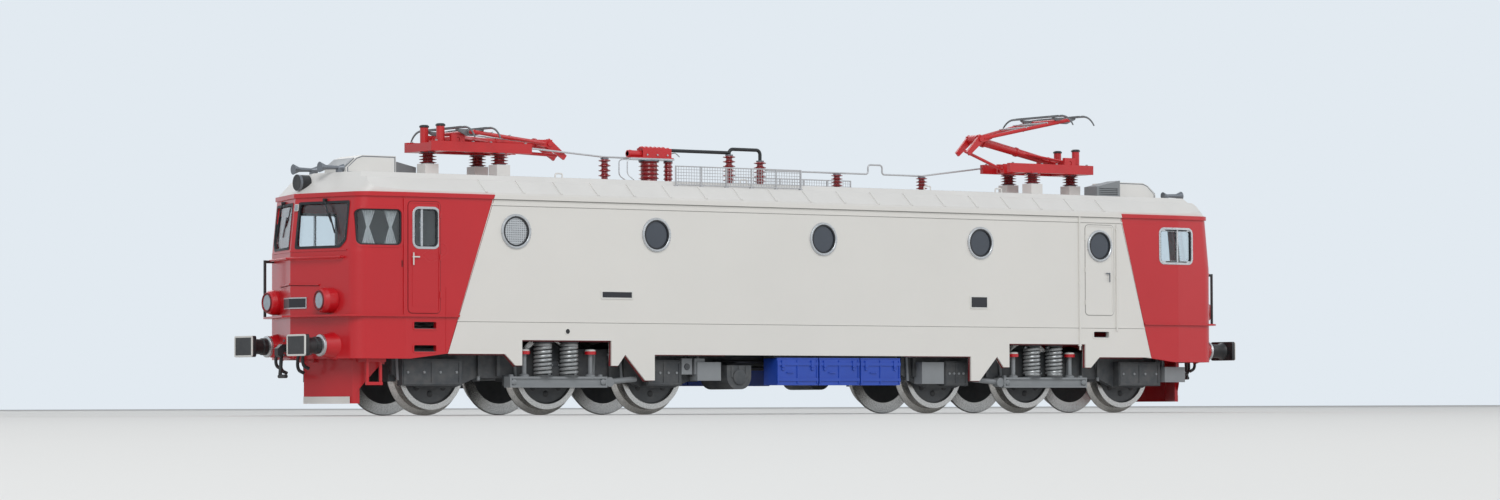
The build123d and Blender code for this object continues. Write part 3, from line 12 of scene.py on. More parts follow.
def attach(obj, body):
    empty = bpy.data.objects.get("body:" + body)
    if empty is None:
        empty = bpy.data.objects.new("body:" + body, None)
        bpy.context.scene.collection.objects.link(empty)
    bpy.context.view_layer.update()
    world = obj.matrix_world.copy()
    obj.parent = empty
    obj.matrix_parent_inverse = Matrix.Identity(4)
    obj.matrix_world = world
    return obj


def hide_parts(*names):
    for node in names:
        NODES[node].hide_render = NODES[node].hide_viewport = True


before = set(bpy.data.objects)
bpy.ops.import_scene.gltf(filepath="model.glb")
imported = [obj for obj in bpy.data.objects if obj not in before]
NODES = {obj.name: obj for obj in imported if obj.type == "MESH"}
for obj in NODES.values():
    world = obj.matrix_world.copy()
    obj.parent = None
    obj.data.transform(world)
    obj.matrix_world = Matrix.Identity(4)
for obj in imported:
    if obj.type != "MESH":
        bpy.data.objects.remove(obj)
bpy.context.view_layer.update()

MM = 0.001

# Body shell, as in the solids
HALF_WIDTH = 17.2
NOSE_X = 109.3
CORNER_X, CORNER_Y, CORNER_RADIUS = 104.6, 16.3, 3.0
TAPER_X = 94.5
RAKE, RAKE_START_Z, SHELL_TOP_Z = 1.2, 30.4, 41.5
FACET = math.atan2(NOSE_X - CORNER_X, CORNER_Y)
LEDGE_Z = 18.4
SEAM_Z = 17.6
MOULDING_Z = 39.5
SILL_Z, EAR_Z, ARCH_TOP_Z, BRACKET_Z = 11.55, 9.4, 14.2, 6.6
JOINT_TOP_Z, JOINT_LOW_Z = 41.3, 11.7
JOINT_LEFT = (-75.3, -85.4)
JOINT_RIGHT = (78.7, 86.9)

# Openings: centre x, centre z, width, height and corner radius on the near side
SIDE_WINDOW = (-99.8, 34.95, 9.2, 7.0, 1.1)
DOOR_WINDOW = (-90.1, 34.95, 5.4, 7.3, 1.1)
SLIDING_WINDOW = (94.05, 35.05, 9.1, 7.2, 1.0)
STEP_HOLES = ((-90.35, 16.8, 4.9, 1.4, 0.3), (-90.35, 12.5, 4.9, 1.3, 0.3), (73.3, 16.25, 4.2, 1.3, 0.3))
PORTHOLES_X = (-38.4, 1.6, 41.3, 72.9)
GRILLE_X = -70.4
PORTHOLE_Z, PORTHOLE_RADIUS, PORTHOLE_RING = 34.7, 2.7, 3.3
SCREEN_INNER, SCREEN_OUTER = 1.4, 14.0
SCREEN_LOW_Z, SCREEN_HIGH_Z, SCREEN_CUT, SCREEN_RADIUS = 31.4, 39.6, 1.3, 0.7

# Doors: centre x, centre z, width, height and corner radius
CAB_DOOR = (-90.55, 29.45, 6.9, 20.7, 0.8)
BODY_DOOR = (72.85, 29.65, 7.6, 18.7, 0.8)

# Running gear
PIVOT_X = 58.9
AXLES_U = (25.86, 0.0, -24.14)
TREAD_RADIUS, AXLE_Z = 7.18, 8.18
ARCH_HALF = 10.1
BEAM_Y, BEAM_Z = (13.4, 15.6), (5.24, 7.33)
BEAM_U = (-10.2, 11.8)
SPRINGS_U, SPRING_RADIUS, SPRING_TOP_Z = (-2.1, 3.8), 1.85, 14.0
POSTS_U, POST_TOP_Z = (-7.0, 8.0), 11.6
BUFFER_Y, BUFFER_Z = 10.06, 13.07
BUFFER_FACE_X = 113.8

# Roof
ROOF_TOP_Z = 45.5
PEDESTAL_TOP_Z, BASE_LOW_Z = 48.0, 50.3
PAN_INSULATORS = ((65.8, 4.0), (65.8, -4.0), (79.4, 0.0))
FENCE_X, FENCE_Y, FENCE_Z, FENCE_PANELS = (-31.3, -1.2), 13.55, (44.45, 48.6), 5

# Pantograph linkage in (x, z) at +X, half raised, and how its bars turn with the lower arm
ARM_FOOT, KNEE, HEAD_PIVOT, ROD_EYE = (75.5, 52.6), (53.6, 57.1), (73.3, 61.5), (51.0, 54.6)
FOLD_DEG, UPPER_RATIO = 11.6, 0.74


def srgb(red, green, blue):
    """A colour given as 0 to 255, as the linear values that shaders take."""
    values = [v / 255 for v in (red, green, blue)]
    return (*(v / 12.92 if v <= 0.04045 else ((v + 0.055) / 1.055) ** 2.4 for v in values), 1.0)


class Nodes:
    """Adds nodes to one material and links them."""

    def __init__(self, tree):
        self.tree = tree

    def add(self, kind, inputs=(), **settings):
        node = self.tree.nodes.new(kind)
        for key, value in settings.items():
            setattr(node, key, value)
        for key, value in dict(inputs).items():
            if isinstance(value, bpy.types.NodeSocket):
                self.tree.links.new(value, node.inputs[key])
            else:
                node.inputs[key].default_value = value
        return node

    def noise(self, size_mm, detail=3.0, stretch=(1, 1, 1)):
        """Noise in the piece's own coordinates, with features of about size_mm."""
        place = self.add("ShaderNodeTexCoord").outputs["Object"]
        place = self.add("ShaderNodeMapping", {"Vector": place, "Scale": stretch}).outputs["Vector"]
        settings = {"Vector": place, "Scale": 1 / (size_mm * MM), "Detail": detail}
        return self.add("ShaderNodeTexNoise", settings).outputs["Fac"]

    def spread(self, value, low, high):
        """Noise mapped so that most of it runs from low to high."""
        settings = {"Value": value, "From Min": 0.3, "From Max": 0.7, "To Min": low, "To Max": high}
        return self.add("ShaderNodeMapRange", settings).outputs["Result"]

    def mix(self, factor, first, second, blend="MIX"):
        settings = {"Factor": factor, "A": first, "B": second}
        node = self.tree.nodes.new("ShaderNodeMix")
        node.data_type = "RGBA"
        node.blend_type = blend
        sockets = {"Factor": 0, "A": 6, "B": 7}
        for key, value in settings.items():
            socket = node.inputs[sockets[key]]
            if isinstance(value, bpy.types.NodeSocket):
                self.tree.links.new(value, socket)
            else:
                socket.default_value = value
        return node.outputs[2]


def shade(colour, amount):
    """The same colour, lighter or darker by a share."""
    return (*(min(1.0, c * (1 + amount)) for c in colour[:3]), 1.0)


def finish_of(
    name, colour, roughness=0.4, metallic=0.0, vary=0.08, patch=14.0, grain=0.25, relief=0.02,
    coat=0.0, dust=0.0, stretch=(1, 1, 1), wheel_x=None, transmission=0.0,
):
    """A painted, moulded or metal finish: patches of tone, a fine grain, uneven gloss and a little relief.
    dust adds a grey film in broad patches. wheel_x gives bright steel from a wheel's rim outwards."""
    material = bpy.data.materials.new(name)
    material.use_nodes = True
    nodes = Nodes(material.node_tree)
    shader = material.node_tree.nodes["Principled BSDF"]
    broad = nodes.noise(patch, 4.0, stretch)
    fine = nodes.noise(grain, 2.0, stretch)
    tone = nodes.mix(nodes.spread(broad, 0.0, 1.0), shade(colour, -vary), shade(colour, vary))
    tone = nodes.mix(nodes.spread(fine, 0.0, 0.5), tone, shade(colour, -0.5 * vary))
    if dust:
        film = nodes.spread(nodes.noise(patch / 3, 6.0, stretch), 0.0, dust)
        tone = nodes.mix(film, tone, srgb(150, 146, 140))
    gloss = nodes.spread(broad, roughness * 0.85, min(1.0, roughness * 1.2))
    metal = metallic
    if wheel_x is not None:
        place = nodes.add("ShaderNodeTexCoord").outputs["Object"]
        centre = (wheel_x * MM, 0.0, AXLE_Z * MM)
        offset = nodes.add("ShaderNodeVectorMath", {0: place, 1: centre}, operation="SUBTRACT").outputs[0]
        flat = nodes.add("ShaderNodeVectorMath", {0: offset, 1: (1, 0, 1)}, operation="MULTIPLY").outputs[0]
        radius = nodes.add("ShaderNodeVectorMath", {0: flat}, operation="LENGTH").outputs["Value"]
        rim_low = (TREAD_RADIUS - 1.25) * MM
        settings = {"Value": radius, "From Min": rim_low, "From Max": rim_low + 0.05 * MM}
        rim = nodes.add("ShaderNodeMapRange", settings).outputs["Result"]
        bright = nodes.mix(nodes.spread(fine, 0.0, 1.0), srgb(176, 174, 172), srgb(214, 212, 208))
        tone = nodes.mix(rim, tone, bright)
        gloss = nodes.add("ShaderNodeMapRange", {"Value": rim, "To Min": roughness, "To Max": 0.26}).outputs[0]
        metal = rim
    material.node_tree.links.new(tone, shader.inputs["Base Color"])
    material.node_tree.links.new(gloss, shader.inputs["Roughness"])
    if isinstance(metal, bpy.types.NodeSocket):
        material.node_tree.links.new(metal, shader.inputs["Metallic"])
    else:
        shader.inputs["Metallic"].default_value = metal
    shader.inputs["Coat Weight"].default_value = coat
    shader.inputs["Coat Roughness"].default_value = 0.12
    shader.inputs["Transmission Weight"].default_value = transmission
    settings = {"Height": fine, "Strength": min(1.0, 12 * relief), "Distance": relief * MM}
    bump = nodes.add("ShaderNodeBump", settings).outputs["Normal"]
    material.node_tree.links.new(bump, shader.inputs["Normal"])
    return material


RED = finish_of("red_satin", srgb(196, 24, 34), 0.32, vary=0.05, patch=22, relief=0.006, coat=0.25)
# Darker copy of the red: painted shade along the lower edge of the body sides and round the arches; also used for the
# headlamp bezels.
DEEP_RED = finish_of("deep_red", srgb(104, 16, 24), 0.5, vary=0.12, patch=4)
WHITE = finish_of("off_white_satin", srgb(226, 224, 219), 0.36, vary=0.025, patch=26, relief=0.006, coat=0.15)
ROOF_WHITE = finish_of("roof_white", srgb(228, 227, 224), 0.42, vary=0.03, patch=16, relief=0.01, dust=0.07)
BLUE = finish_of("blue_satin", srgb(34, 74, 178), 0.36, vary=0.08, patch=6, coat=0.15)
DARK = finish_of("dark_frame", srgb(62, 66, 70), 0.55, vary=0.14, patch=5, grain=0.12, relief=0.02, dust=0.16)
BLACK = finish_of("black_moulding", srgb(26, 28, 32), 0.42, vary=0.16, patch=4, relief=0.012, dust=0.06)
GREY = finish_of("grey_moulding", srgb(134, 138, 141), 0.42, vary=0.08, patch=5, grain=0.14, relief=0.015)
SPRING = finish_of("spring_grey", srgb(158, 161, 162), 0.3, metallic=0.35, vary=0.08, patch=3, grain=0.1)
SILVER = finish_of("brushed_silver", srgb(196, 198, 200), 0.28, metallic=0.75, vary=0.05, patch=3,
                   grain=0.08, stretch=(1, 1, 6))
DARK_SILVER = finish_of("dark_silver", srgb(120, 124, 130), 0.34, metallic=0.6, vary=0.1, patch=3)
RUBBER = finish_of("rubber_seal", srgb(34, 36, 40), 0.6, vary=0.12, patch=3, relief=0.01)
GLASS = finish_of("clear_glass", srgb(236, 243, 246), 0.03, vary=0.01, patch=20, relief=0.0, transmission=1.0)
DARK_GLASS = finish_of("dark_glass", srgb(58, 64, 74), 0.12, vary=0.1, patch=5, relief=0.0, coat=0.6)
LENS = finish_of("lamp_lens", srgb(150, 162, 170), 0.1, metallic=0.3, vary=0.2, patch=1.2, grain=0.3,
                 relief=0.03, coat=0.8)
INSULATOR = finish_of("insulator_glaze", srgb(138, 34, 38), 0.26, vary=0.1, patch=2, coat=0.5)
PAN_RED = finish_of("pantograph_red", srgb(198, 36, 40), 0.34, vary=0.07, patch=5, coat=0.2)
CONTACT = finish_of("contact_grey", srgb(120, 122, 124), 0.34, metallic=0.5, vary=0.12, patch=2)
CARBON = finish_of("contact_carbon", srgb(58, 58, 60), 0.5, vary=0.15, patch=1.0, stretch=(4, 1, 4))
CABLE = finish_of("cable_black", srgb(30, 31, 34), 0.5, vary=0.12, patch=2, grain=0.15, relief=0.03)
WIRE = finish_of("wire_grey", srgb(188, 188, 190), 0.34, metallic=0.5, vary=0.08, patch=3)
INTERIOR = finish_of("interior_grey", srgb(148, 150, 146), 0.6, vary=0.08, patch=5)
WEIGHT = finish_of("cast_weight", srgb(88, 88, 90), 0.5, metallic=0.6, vary=0.15, patch=4, relief=0.03)
CURTAIN = finish_of("curtain_white", srgb(226, 224, 222), 0.7, vary=0.06, patch=1.2, stretch=(4, 4, 0.5))
# Darker copies of the red and the white: painted shadow in the door shut lines, under the mouldings, under the gutter
# and under the cab front's lip; they also colour the cab-body joints and the roof seams.
SHADOW_RED = finish_of("seam_and_painted_shadow_red", srgb(120, 14, 20), 0.6, vary=0.1, patch=3)
SHADOW_WHITE = finish_of("seam_and_painted_shadow_grey", srgb(150, 149, 146), 0.6, vary=0.08, patch=3)
PLATE_WHITE = finish_of("border_white", srgb(222, 222, 218), 0.45, vary=0.05, patch=2)
PLATE_BLACK = finish_of("plate_black", srgb(34, 36, 42), 0.4, vary=0.12, patch=2)

NODE_FINISHES = {
    "cab_shell": RED, "side_wall": WHITE, "roof": ROOF_WHITE, "cab_glass": GLASS,
    "porthole_panes": DARK_GLASS, "porthole_rings": SILVER, "headlamp_lenses": LENS, "roof_lamps": BLACK,
    "horns": DARK_SILVER, "roof_boxes": ROOF_WHITE, "roof_louvres": GREY, "main_switch": PAN_RED,
    "bus_cables": CABLE, "roof_wires": WIRE, "battery_boxes": BLUE, "tanks": DARK, "underframe": DARK,
    "motor_and_weight": WEIGHT, "cab_interior": INTERIOR, "coupling": BLACK, "plough": RED,
    "corner_rail": BLACK, "bogie_frame": DARK, "bogie_gear": GREY, "pantograph_base": PAN_RED,
    "pantograph_lower_arm": PAN_RED, "pantograph_upper_arm": PAN_RED, "pantograph_rod": PAN_RED,
    "side_grilles": SILVER, "roof_insulators": INSULATOR, "mesh_fences": WIRE, "buffers": BLACK,
    "bogie_springs": SPRING, "pantograph_head": CONTACT,
}


def dress_nodes():
    """Gives each solid of the model its finish."""
    wheels = [end * (PIVOT_X + u) for end in (1, -1) for u in AXLES_U]
    finishes = {f"wheelset_{k}": finish_of(f"wheel_{k}", srgb(74, 77, 80), 0.5, vary=0.15, patch=3,
                                           wheel_x=x, dust=0.1)
                for k, x in enumerate(sorted(wheels), start=1)}
    for name, node in NODES.items():
        stem = next((s for s in sorted(NODE_FINISHES, key=len, reverse=True) if name.startswith(s)), None)
        material = finishes.get(name) or NODE_FINISHES[stem]
        node.data.materials.clear()
        node.data.materials.append(material)


class Shape:
    """Collects the faces of one piece, in millimetres, each with the number of its material."""

    def __init__(self):
        self.mesh = bmesh.new()

    def face(self, corners, material):
        face = self.mesh.faces.new(corners)
        face.material_index = material

    def loops(self, rings, material=0, closed=True, capped=True):
        """Joins rings of points, each with as many points as the one before it."""
        rows = [[self.mesh.verts.new(p) for p in ring] for ring in rings]
        count = len(rows[0])
        for low, high in zip(rows, rows[1:]):
            for k in range(count if closed else count - 1):
                n = (k + 1) % count
                self.face((low[k], low[n], high[n], high[k]), material)
        if capped and closed:
            self.face(list(reversed(rows[0])), material)
            self.face(rows[-1], material)

    def plate(self, outline, place, low, high, material=0):
        """A plate with an outline of (a, b) points, put where place(a, b, out) says."""
        self.loops([[place(a, b, out) for a, b in outline] for out in (low, high)], material)

    def band(self, outer, inner, place, low, high, material=0):
        """A flat frame between two outlines with as many points each."""
        rings = [(outer, low), (outer, high), (inner, high), (inner, low), (outer, low)]
        self.loops([[place(a, b, out) for a, b in line] for line, out in rings], material, capped=False)

    def box(self, x, y, z, material=0):
        outline = ((x[0], y[0]), (x[1], y[0]), (x[1], y[1]), (x[0], y[1]))
        self.plate(outline, lambda a, b, out: (a, b, out), z[0], z[1], material)

    def tube(self, points, radius, sides=10, material=0):
        """A round bar along points. radius is one number or one for each point."""
        points = [Vector(p) for p in points]
        radii = radius if isinstance(radius, (list, tuple)) else [radius] * len(points)
        side = None
        rings = []
        for k, point in enumerate(points):
            run = (points[min(k + 1, len(points) - 1)] - points[max(k - 1, 0)]).normalized()
            side = run.orthogonal() if side is None else side - run * side.dot(run)
            side.normalize()
            other = run.cross(side)
            angles = [2 * math.pi * n / sides for n in range(sides)]
            rings.append([point + radii[k] * (side * math.cos(t) + other * math.sin(t)) for t in angles])
        self.loops(rings, material)

    def lathe(self, centre, axis, profile, sides=32, material=0):
        """A turned form: profile is (distance along the axis, radius) from one end to the other."""
        axis = Vector(axis).normalized()
        side = axis.orthogonal().normalized()
        other = axis.cross(side)
        angles = [2 * math.pi * n / sides for n in range(sides)]
        rings = []
        for along, radius in profile:
            middle = Vector(centre) + axis * along
            reach = max(radius, 0.01)
            rings.append([middle + reach * (side * math.cos(t) + other * math.sin(t)) for t in angles])
        self.loops(rings, material)

    def finish(self, name, body, slot, materials, bevel=0.0, smooth=38.0, turned=False, thick=0.0, stands_for=()):
        """Makes the object, in metres, and says which body it rides on."""
        bmesh.ops.recalc_face_normals(self.mesh, faces=self.mesh.faces)
        mesh = bpy.data.meshes.new(name)
        self.mesh.to_mesh(mesh)
        self.mesh.free()
        mesh.transform(Matrix.Scale(MM, 4))
        if turned:
            mesh.transform(Matrix.Rotation(math.pi, 4, "Z"))
        for polygon in mesh.polygons:
            polygon.use_smooth = True
        mesh.set_sharp_from_angle(angle=math.radians(smooth))
        for material in materials:
            mesh.materials.append(material)
        piece = bpy.data.objects.new(name, mesh)
        bpy.context.scene.collection.objects.link(piece)
        if thick:
            solidify = piece.modifiers.new("thickness", "SOLIDIFY")
            solidify.thickness = thick * MM
            solidify.offset = 0
        if bevel:
            edge = piece.modifiers.new("edges", "BEVEL")
            edge.width = bevel * MM
            edge.segments = 2
            edge.limit_method = "ANGLE"
            edge.angle_limit = math.radians(50)
            edge.harden_normals = True
        if stands_for:
            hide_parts(*stands_for)
        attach(piece, body)
        return piece


def both(draw, name, bodies, slot, materials, stands_for=(), **how):
    """The same form twice: number 1 as drawn, and number 2 turned half a turn about the middle."""
    for number in (1, 2):
        shape = Shape()
        draw(shape)
        nodes = [f"{node}_{number}" for node in stands_for]
        shape.finish(f"{name}_{number}", bodies[number - 1], slot, materials,
                     turned=number == 2, stands_for=nodes, **how)


ROOT = ("root", "root")
BOGIES = ("bogie_1", "bogie_2")


def rounded(centre_a, centre_b, width, height, radius, grow=0.0, steps=5):
    """Outline of a rounded rectangle as (a, b) points, with grow added all round."""
    half_a, half_b = width / 2 + grow, height / 2 + grow
    radius = max(radius + grow, 0.02)
    outline = []
    for quarter, (sign_a, sign_b) in enumerate(((1, 1), (-1, 1), (-1, -1), (1, -1))):
        for step in range(steps + 1):
            angle = math.pi / 2 * (quarter + step / steps)
            outline.append((centre_a + sign_a * (half_a - radius) + radius * math.cos(angle),
                            centre_b + sign_b * (half_b - radius) + radius * math.sin(angle)))
    return outline


def divided(outline, count=4):
    """The same outline with count points to a side, so that it can follow a curved wall."""
    points = []
    for k, (a, b) in enumerate(outline):
        a_next, b_next = outline[(k + 1) % len(outline)]
        points += [(a + (a_next - a) * n / count, b + (b_next - b) * n / count) for n in range(count)]
    return points


def arc_path(points, bend, steps=5):
    """A path through points whose corners are rounded by arcs of about the given radius."""
    points = [Vector(p) for p in points]
    path = [points[0]]
    for before, corner, after in zip(points, points[1:], points[2:]):
        first = corner + (before - corner).normalized() * min(bend, (before - corner).length / 2)
        last = corner + (after - corner).normalized() * min(bend, (after - corner).length / 2)
        for step in range(steps + 1):
            t = step / steps
            path.append((1 - t) ** 2 * first + 2 * t * (1 - t) * corner + t * t * last)
    return path + [points[-1]]


def rake_at(z):
    """How far a cab front leans back at height z."""
    return RAKE * max(0.0, z - RAKE_START_Z) / (SHELL_TOP_Z - RAKE_START_Z)


def on_side(x, z, out=0.0):
    """A point on the near side, or out from it, with the taper and the rounded corner of the cabs."""
    along, end = abs(x), math.copysign(1, x)
    if along <= TAPER_X:
        return (x, -(HALF_WIDTH + out), z)
    corner = Vector((CORNER_X - rake_at(z), CORNER_Y))
    slope = (corner.y - HALF_WIDTH) / (corner.x - TAPER_X)
    flat = Vector((-slope, 1)).normalized()
    front = Vector((math.cos(FACET), math.sin(FACET)))
    flat_reach, front_reach = flat.dot(corner) - CORNER_RADIUS, front.dot(corner) - CORNER_RADIUS
    det = flat.x * front.y - flat.y * front.x
    centre = Vector(((flat_reach * front.y - front_reach * flat.y) / det,
                     (flat.x * front_reach - front.x * flat_reach) / det))
    if along < centre.x + CORNER_RADIUS * flat.x:
        point, normal = Vector((along, HALF_WIDTH + slope * (along - TAPER_X))), flat
    else:
        past = min(along - centre.x, CORNER_RADIUS * 0.98)
        point = centre + Vector((past, math.sqrt(CORNER_RADIUS**2 - past**2)))
        normal = (point - centre).normalized()
    point += normal * out
    return (end * point.x, -point.y, z)


def on_front(s, z, out=0.0):
    """A point on the cab front at -X, at a distance s from the prow, positive towards the near side."""
    side = 0 if abs(s) < 0.01 else math.copysign(1, s)
    x = NOSE_X - rake_at(z) - abs(s) * math.sin(FACET) + out * (math.cos(FACET) if side else 1)
    return (-x, -s * math.cos(FACET) - side * out * math.sin(FACET), z)


def joint_x(ends, z):
    """Where a slanted joint between red and white runs at height z."""
    return ends[0] + (ends[1] - ends[0]) * (JOINT_TOP_Z - z) / (JOINT_TOP_Z - JOINT_LOW_Z)


def strip(shape, x_from, x_to, z_low, z_high, low, high, material=0, count=1):
    """A long strip on the near side, from x_from to x_to."""
    xs = [x_from + (x_to - x_from) * n / count for n in range(count + 1)]
    outline = [(x, z_low) for x in xs] + [(x, z_high) for x in reversed(xs)]
    shape.plate(outline, on_side, low, high, material)


# Body sides

def draw_side_mouldings(shape):
    """Mouldings under the gutter and at the belt, each with a painted shadow line under it, and a painted shadow line
    under the gutter.
    """
    for z, height, out in ((MOULDING_Z, 0.32, 0.14), (SEAM_Z, 0.2, 0.08)):
        left, right = joint_x(JOINT_LEFT, z) + 0.1, joint_x(JOINT_RIGHT, z) - 0.1
        strip(shape, left, right, z, z + height, -0.2, out, 0)
        strip(shape, left, right, z - 0.1, z, -0.2, 0.015, 1)
    strip(shape, joint_x(JOINT_LEFT, 40.6), joint_x(JOINT_RIGHT, 40.6), 40.55, 40.7, -0.2, 0.02, 1)
    for x, low, high in ((67.45, 13.0, 40.7), (77.45, 17.0, 39.2)):
        shape.tube([on_side(x, low, 0.16), on_side(x, high, 0.16)], 0.2, 8, 0)
        for z in (low + 1.0, (low + high) / 2, high - 1.0):
            strip(shape, x - 0.35, x + 0.35, z - 0.15, z + 0.15, -0.1, 0.3, 0)


def draw_body_door(shape):
    """White door in the body side: a shut line painted as a dark grey strip for the shade in it, a raised edge, hinges
    and an L handle.
    """
    outer, inner = rounded(*BODY_DOOR, grow=0.12), rounded(*BODY_DOOR, grow=-0.02)
    shape.band(outer, inner, on_side, -0.2, 0.02, 1)
    shape.band(rounded(*BODY_DOOR, grow=-0.02), rounded(*BODY_DOOR, grow=-0.32), on_side, -0.2, 0.1, 0)
    x, z, width, height = BODY_DOOR[:4]
    for hinge_z in (z - height * 0.36, z, z + height * 0.36):
        shape.tube([on_side(x - width / 2, hinge_z - 0.5, 0.15), on_side(x - width / 2, hinge_z + 0.5, 0.15)], 0.16, 8)
    handle_x = x + width / 2 - 1.2
    shape.tube(arc_path([on_side(handle_x - 1.0, 29.0, 0.3), on_side(handle_x, 29.0, 0.3),
                         on_side(handle_x, 27.2, 0.3)], 0.3), 0.12, 8, 2)
    shape.tube([on_side(handle_x, 29.0, -0.2), on_side(handle_x, 29.0, 0.35)], 0.14, 8, 2)


def draw_joint_lines(shape):
    """Narrow dark line along each slanted joint between the cab and the body."""
    for ends, way in ((JOINT_LEFT, 1), (JOINT_RIGHT, -1)):
        outline = [(ends[1], JOINT_LOW_Z), (ends[1] + way * 0.09, JOINT_LOW_Z),
                   (ends[0] + way * 0.09, JOINT_TOP_Z - 0.7), (ends[0], JOINT_TOP_Z - 0.7)]
        shape.plate(outline, on_side, -0.2, 0.012, 0)


def draw_sill_edge(shape):
    """Red edge along the bottom of the body sides and round the arches, painted darker for the shade under that edge.
    """
    for end in (1, -1):
        inner, outer = PIVOT_X - ARCH_HALF, PIVOT_X + ARCH_HALF
        outline = [(22.0, SILL_Z), (38.8, SILL_Z), (38.8, BRACKET_Z), (41.0, BRACKET_Z), (45.6, SILL_Z),
                   (inner - 1.5, EAR_Z), (inner, EAR_Z), (inner, ARCH_TOP_Z), (outer, ARCH_TOP_Z),
                   (outer, EAR_Z), (outer + 1.5, EAR_Z), (outer + 3.8, SILL_Z), (85.0, SILL_Z)]
        points = [(end * x, -(HALF_WIDTH - 0.62), z + 0.04) for x, z in outline]
        shape.tube(points, 0.3, 4, 0)


def draw_porthole_seals(shape):
    """Dark gasket inside each silver ring, and a rounded bead on the ring."""
    for x in (*PORTHOLES_X, GRILLE_X):
        centre = (x, -HALF_WIDTH, PORTHOLE_Z)
        bead = [(0.24, PORTHOLE_RADIUS + 0.12), (0.34, PORTHOLE_RADIUS + 0.22), (0.34, PORTHOLE_RING - 0.16),
                (0.24, PORTHOLE_RING - 0.06), (0.1, PORTHOLE_RING + 0.0), (0.0, PORTHOLE_RING + 0.02)]
        rings = bead + [(-0.1, PORTHOLE_RING - 0.3), (-0.1, PORTHOLE_RADIUS + 0.12), bead[0]]
        turned_ring(shape, centre, rings, 0)
        seal = [(0.26, PORTHOLE_RADIUS - 0.14), (0.26, PORTHOLE_RADIUS + 0.14), (-0.7, PORTHOLE_RADIUS + 0.02),
                (-0.7, PORTHOLE_RADIUS - 0.14), (0.26, PORTHOLE_RADIUS - 0.14)]
        turned_ring(shape, centre, seal, 1)


def turned_ring(shape, centre, profile, material, sides=48):
    """A ring turned about the Y axis, from a closed line of (out, radius) points."""
    rings = []
    for out, radius in profile:
        angles = [2 * math.pi * n / sides for n in range(sides)]
        rings.append([(centre[0] + radius * math.cos(t), centre[1] - out, centre[2] + radius * math.sin(t))
                      for t in angles])
    shape.loops(rings, material, capped=False)


def draw_grille(shape):
    """Round ventilation grille: fine crossed bars over a dark disc."""
    centre = (GRILLE_X, -HALF_WIDTH, PORTHOLE_Z)
    shape.lathe((GRILLE_X, -HALF_WIDTH + 0.75, PORTHOLE_Z), (0, -1, 0),
                [(0, 0), (0, PORTHOLE_RADIUS), (0.25, PORTHOLE_RADIUS), (0.25, 0)], 40, 1)
    pitch, bar = 0.42, 0.13
    count = int(PORTHOLE_RADIUS / pitch)
    for n in range(-count, count + 1):
        reach = math.sqrt(PORTHOLE_RADIUS**2 - (n * pitch) ** 2) + 0.04
        strip(shape, centre[0] + n * pitch - bar, centre[0] + n * pitch + bar,
              centre[2] - reach, centre[2] + reach, -0.3, 0.02, 0)
        strip(shape, centre[0] - reach, centre[0] + reach,
              centre[2] + n * pitch - bar, centre[2] + n * pitch + bar, -0.32, 0.0, 0)


def draw_side_plates(shape):
    """Two blank plates with a light border, and the lifting eye over the left bogie."""
    for x_from, x_to, z_from, z_to in ((-51.2, -43.9, 22.2, 23.8), (38.6, 43.2, 21.3, 23.9)):
        centre = ((x_from + x_to) / 2, (z_from + z_to) / 2, x_to - x_from, z_to - z_from, 0.15)
        shape.band(rounded(*centre), rounded(*centre, grow=-0.26), on_side, -0.1, 0.16, 1)
        shape.plate(rounded(*centre, grow=-0.1), on_side, -0.1, 0.1, 0)
    shape.lathe((-58.8, -HALF_WIDTH + 0.3, 15.9), (0, -1, 0), [(0, 0), (0, 0.5), (0.34, 0.5), (0.34, 0)], 20, 2)
    turned_ring(shape, (-58.8, -HALF_WIDTH, 15.9), [(-0.1, 0.45), (0.1, 0.48), (0.1, 0.62), (-0.1, 0.68)], 3, 20)


def draw_step_lips(shape):
    """Lips round the step recesses and a tread plate in each."""
    for step in STEP_HOLES:
        shape.band(rounded(*step, grow=0.22), rounded(*step, grow=-0.05), on_side, -0.3, 0.08, 0 if step[0] < 0 else 1)
        x, z, width, height, _ = step
        shape.box((x - width / 2, x + width / 2), (-HALF_WIDTH + 0.1, -HALF_WIDTH + 1.0),
                  (z - height / 2, z - height / 2 + 0.2), 2)


# Cab windows and doors

def draw_window_frames(shape):
    """Frames of the side windows, the bars in them, and the rails of the sliding window."""
    for window, material in ((SIDE_WINDOW, 0), (DOOR_WINDOW, 1), (SLIDING_WINDOW, 1)):
        outer, inner = divided(rounded(*window, grow=0.3)), divided(rounded(*window, grow=-0.16))
        shape.band(outer, inner, on_side, -0.35, 0.1, material)
        outer, inner = divided(rounded(*window, grow=-0.1)), divided(rounded(*window, grow=-0.42))
        shape.band(outer, inner, on_side, -0.7, -0.12, 2)
    for (x, z, width, height, _), bar_x in ((DOOR_WINDOW, -91.0), (SLIDING_WINDOW, 94.4)):
        strip(shape, bar_x - 0.22, bar_x + 0.22, z - height / 2 + 0.2, z + height / 2 - 0.2, -0.6, -0.05, 1)
    x, z, width, height, _ = SLIDING_WINDOW
    for low in (z - height / 2 + 0.1, z + height / 2 - 0.5):
        strip(shape, x - width / 2 + 0.2, x + width / 2 - 0.2, low, low + 0.4, -0.6, -0.06, 1)


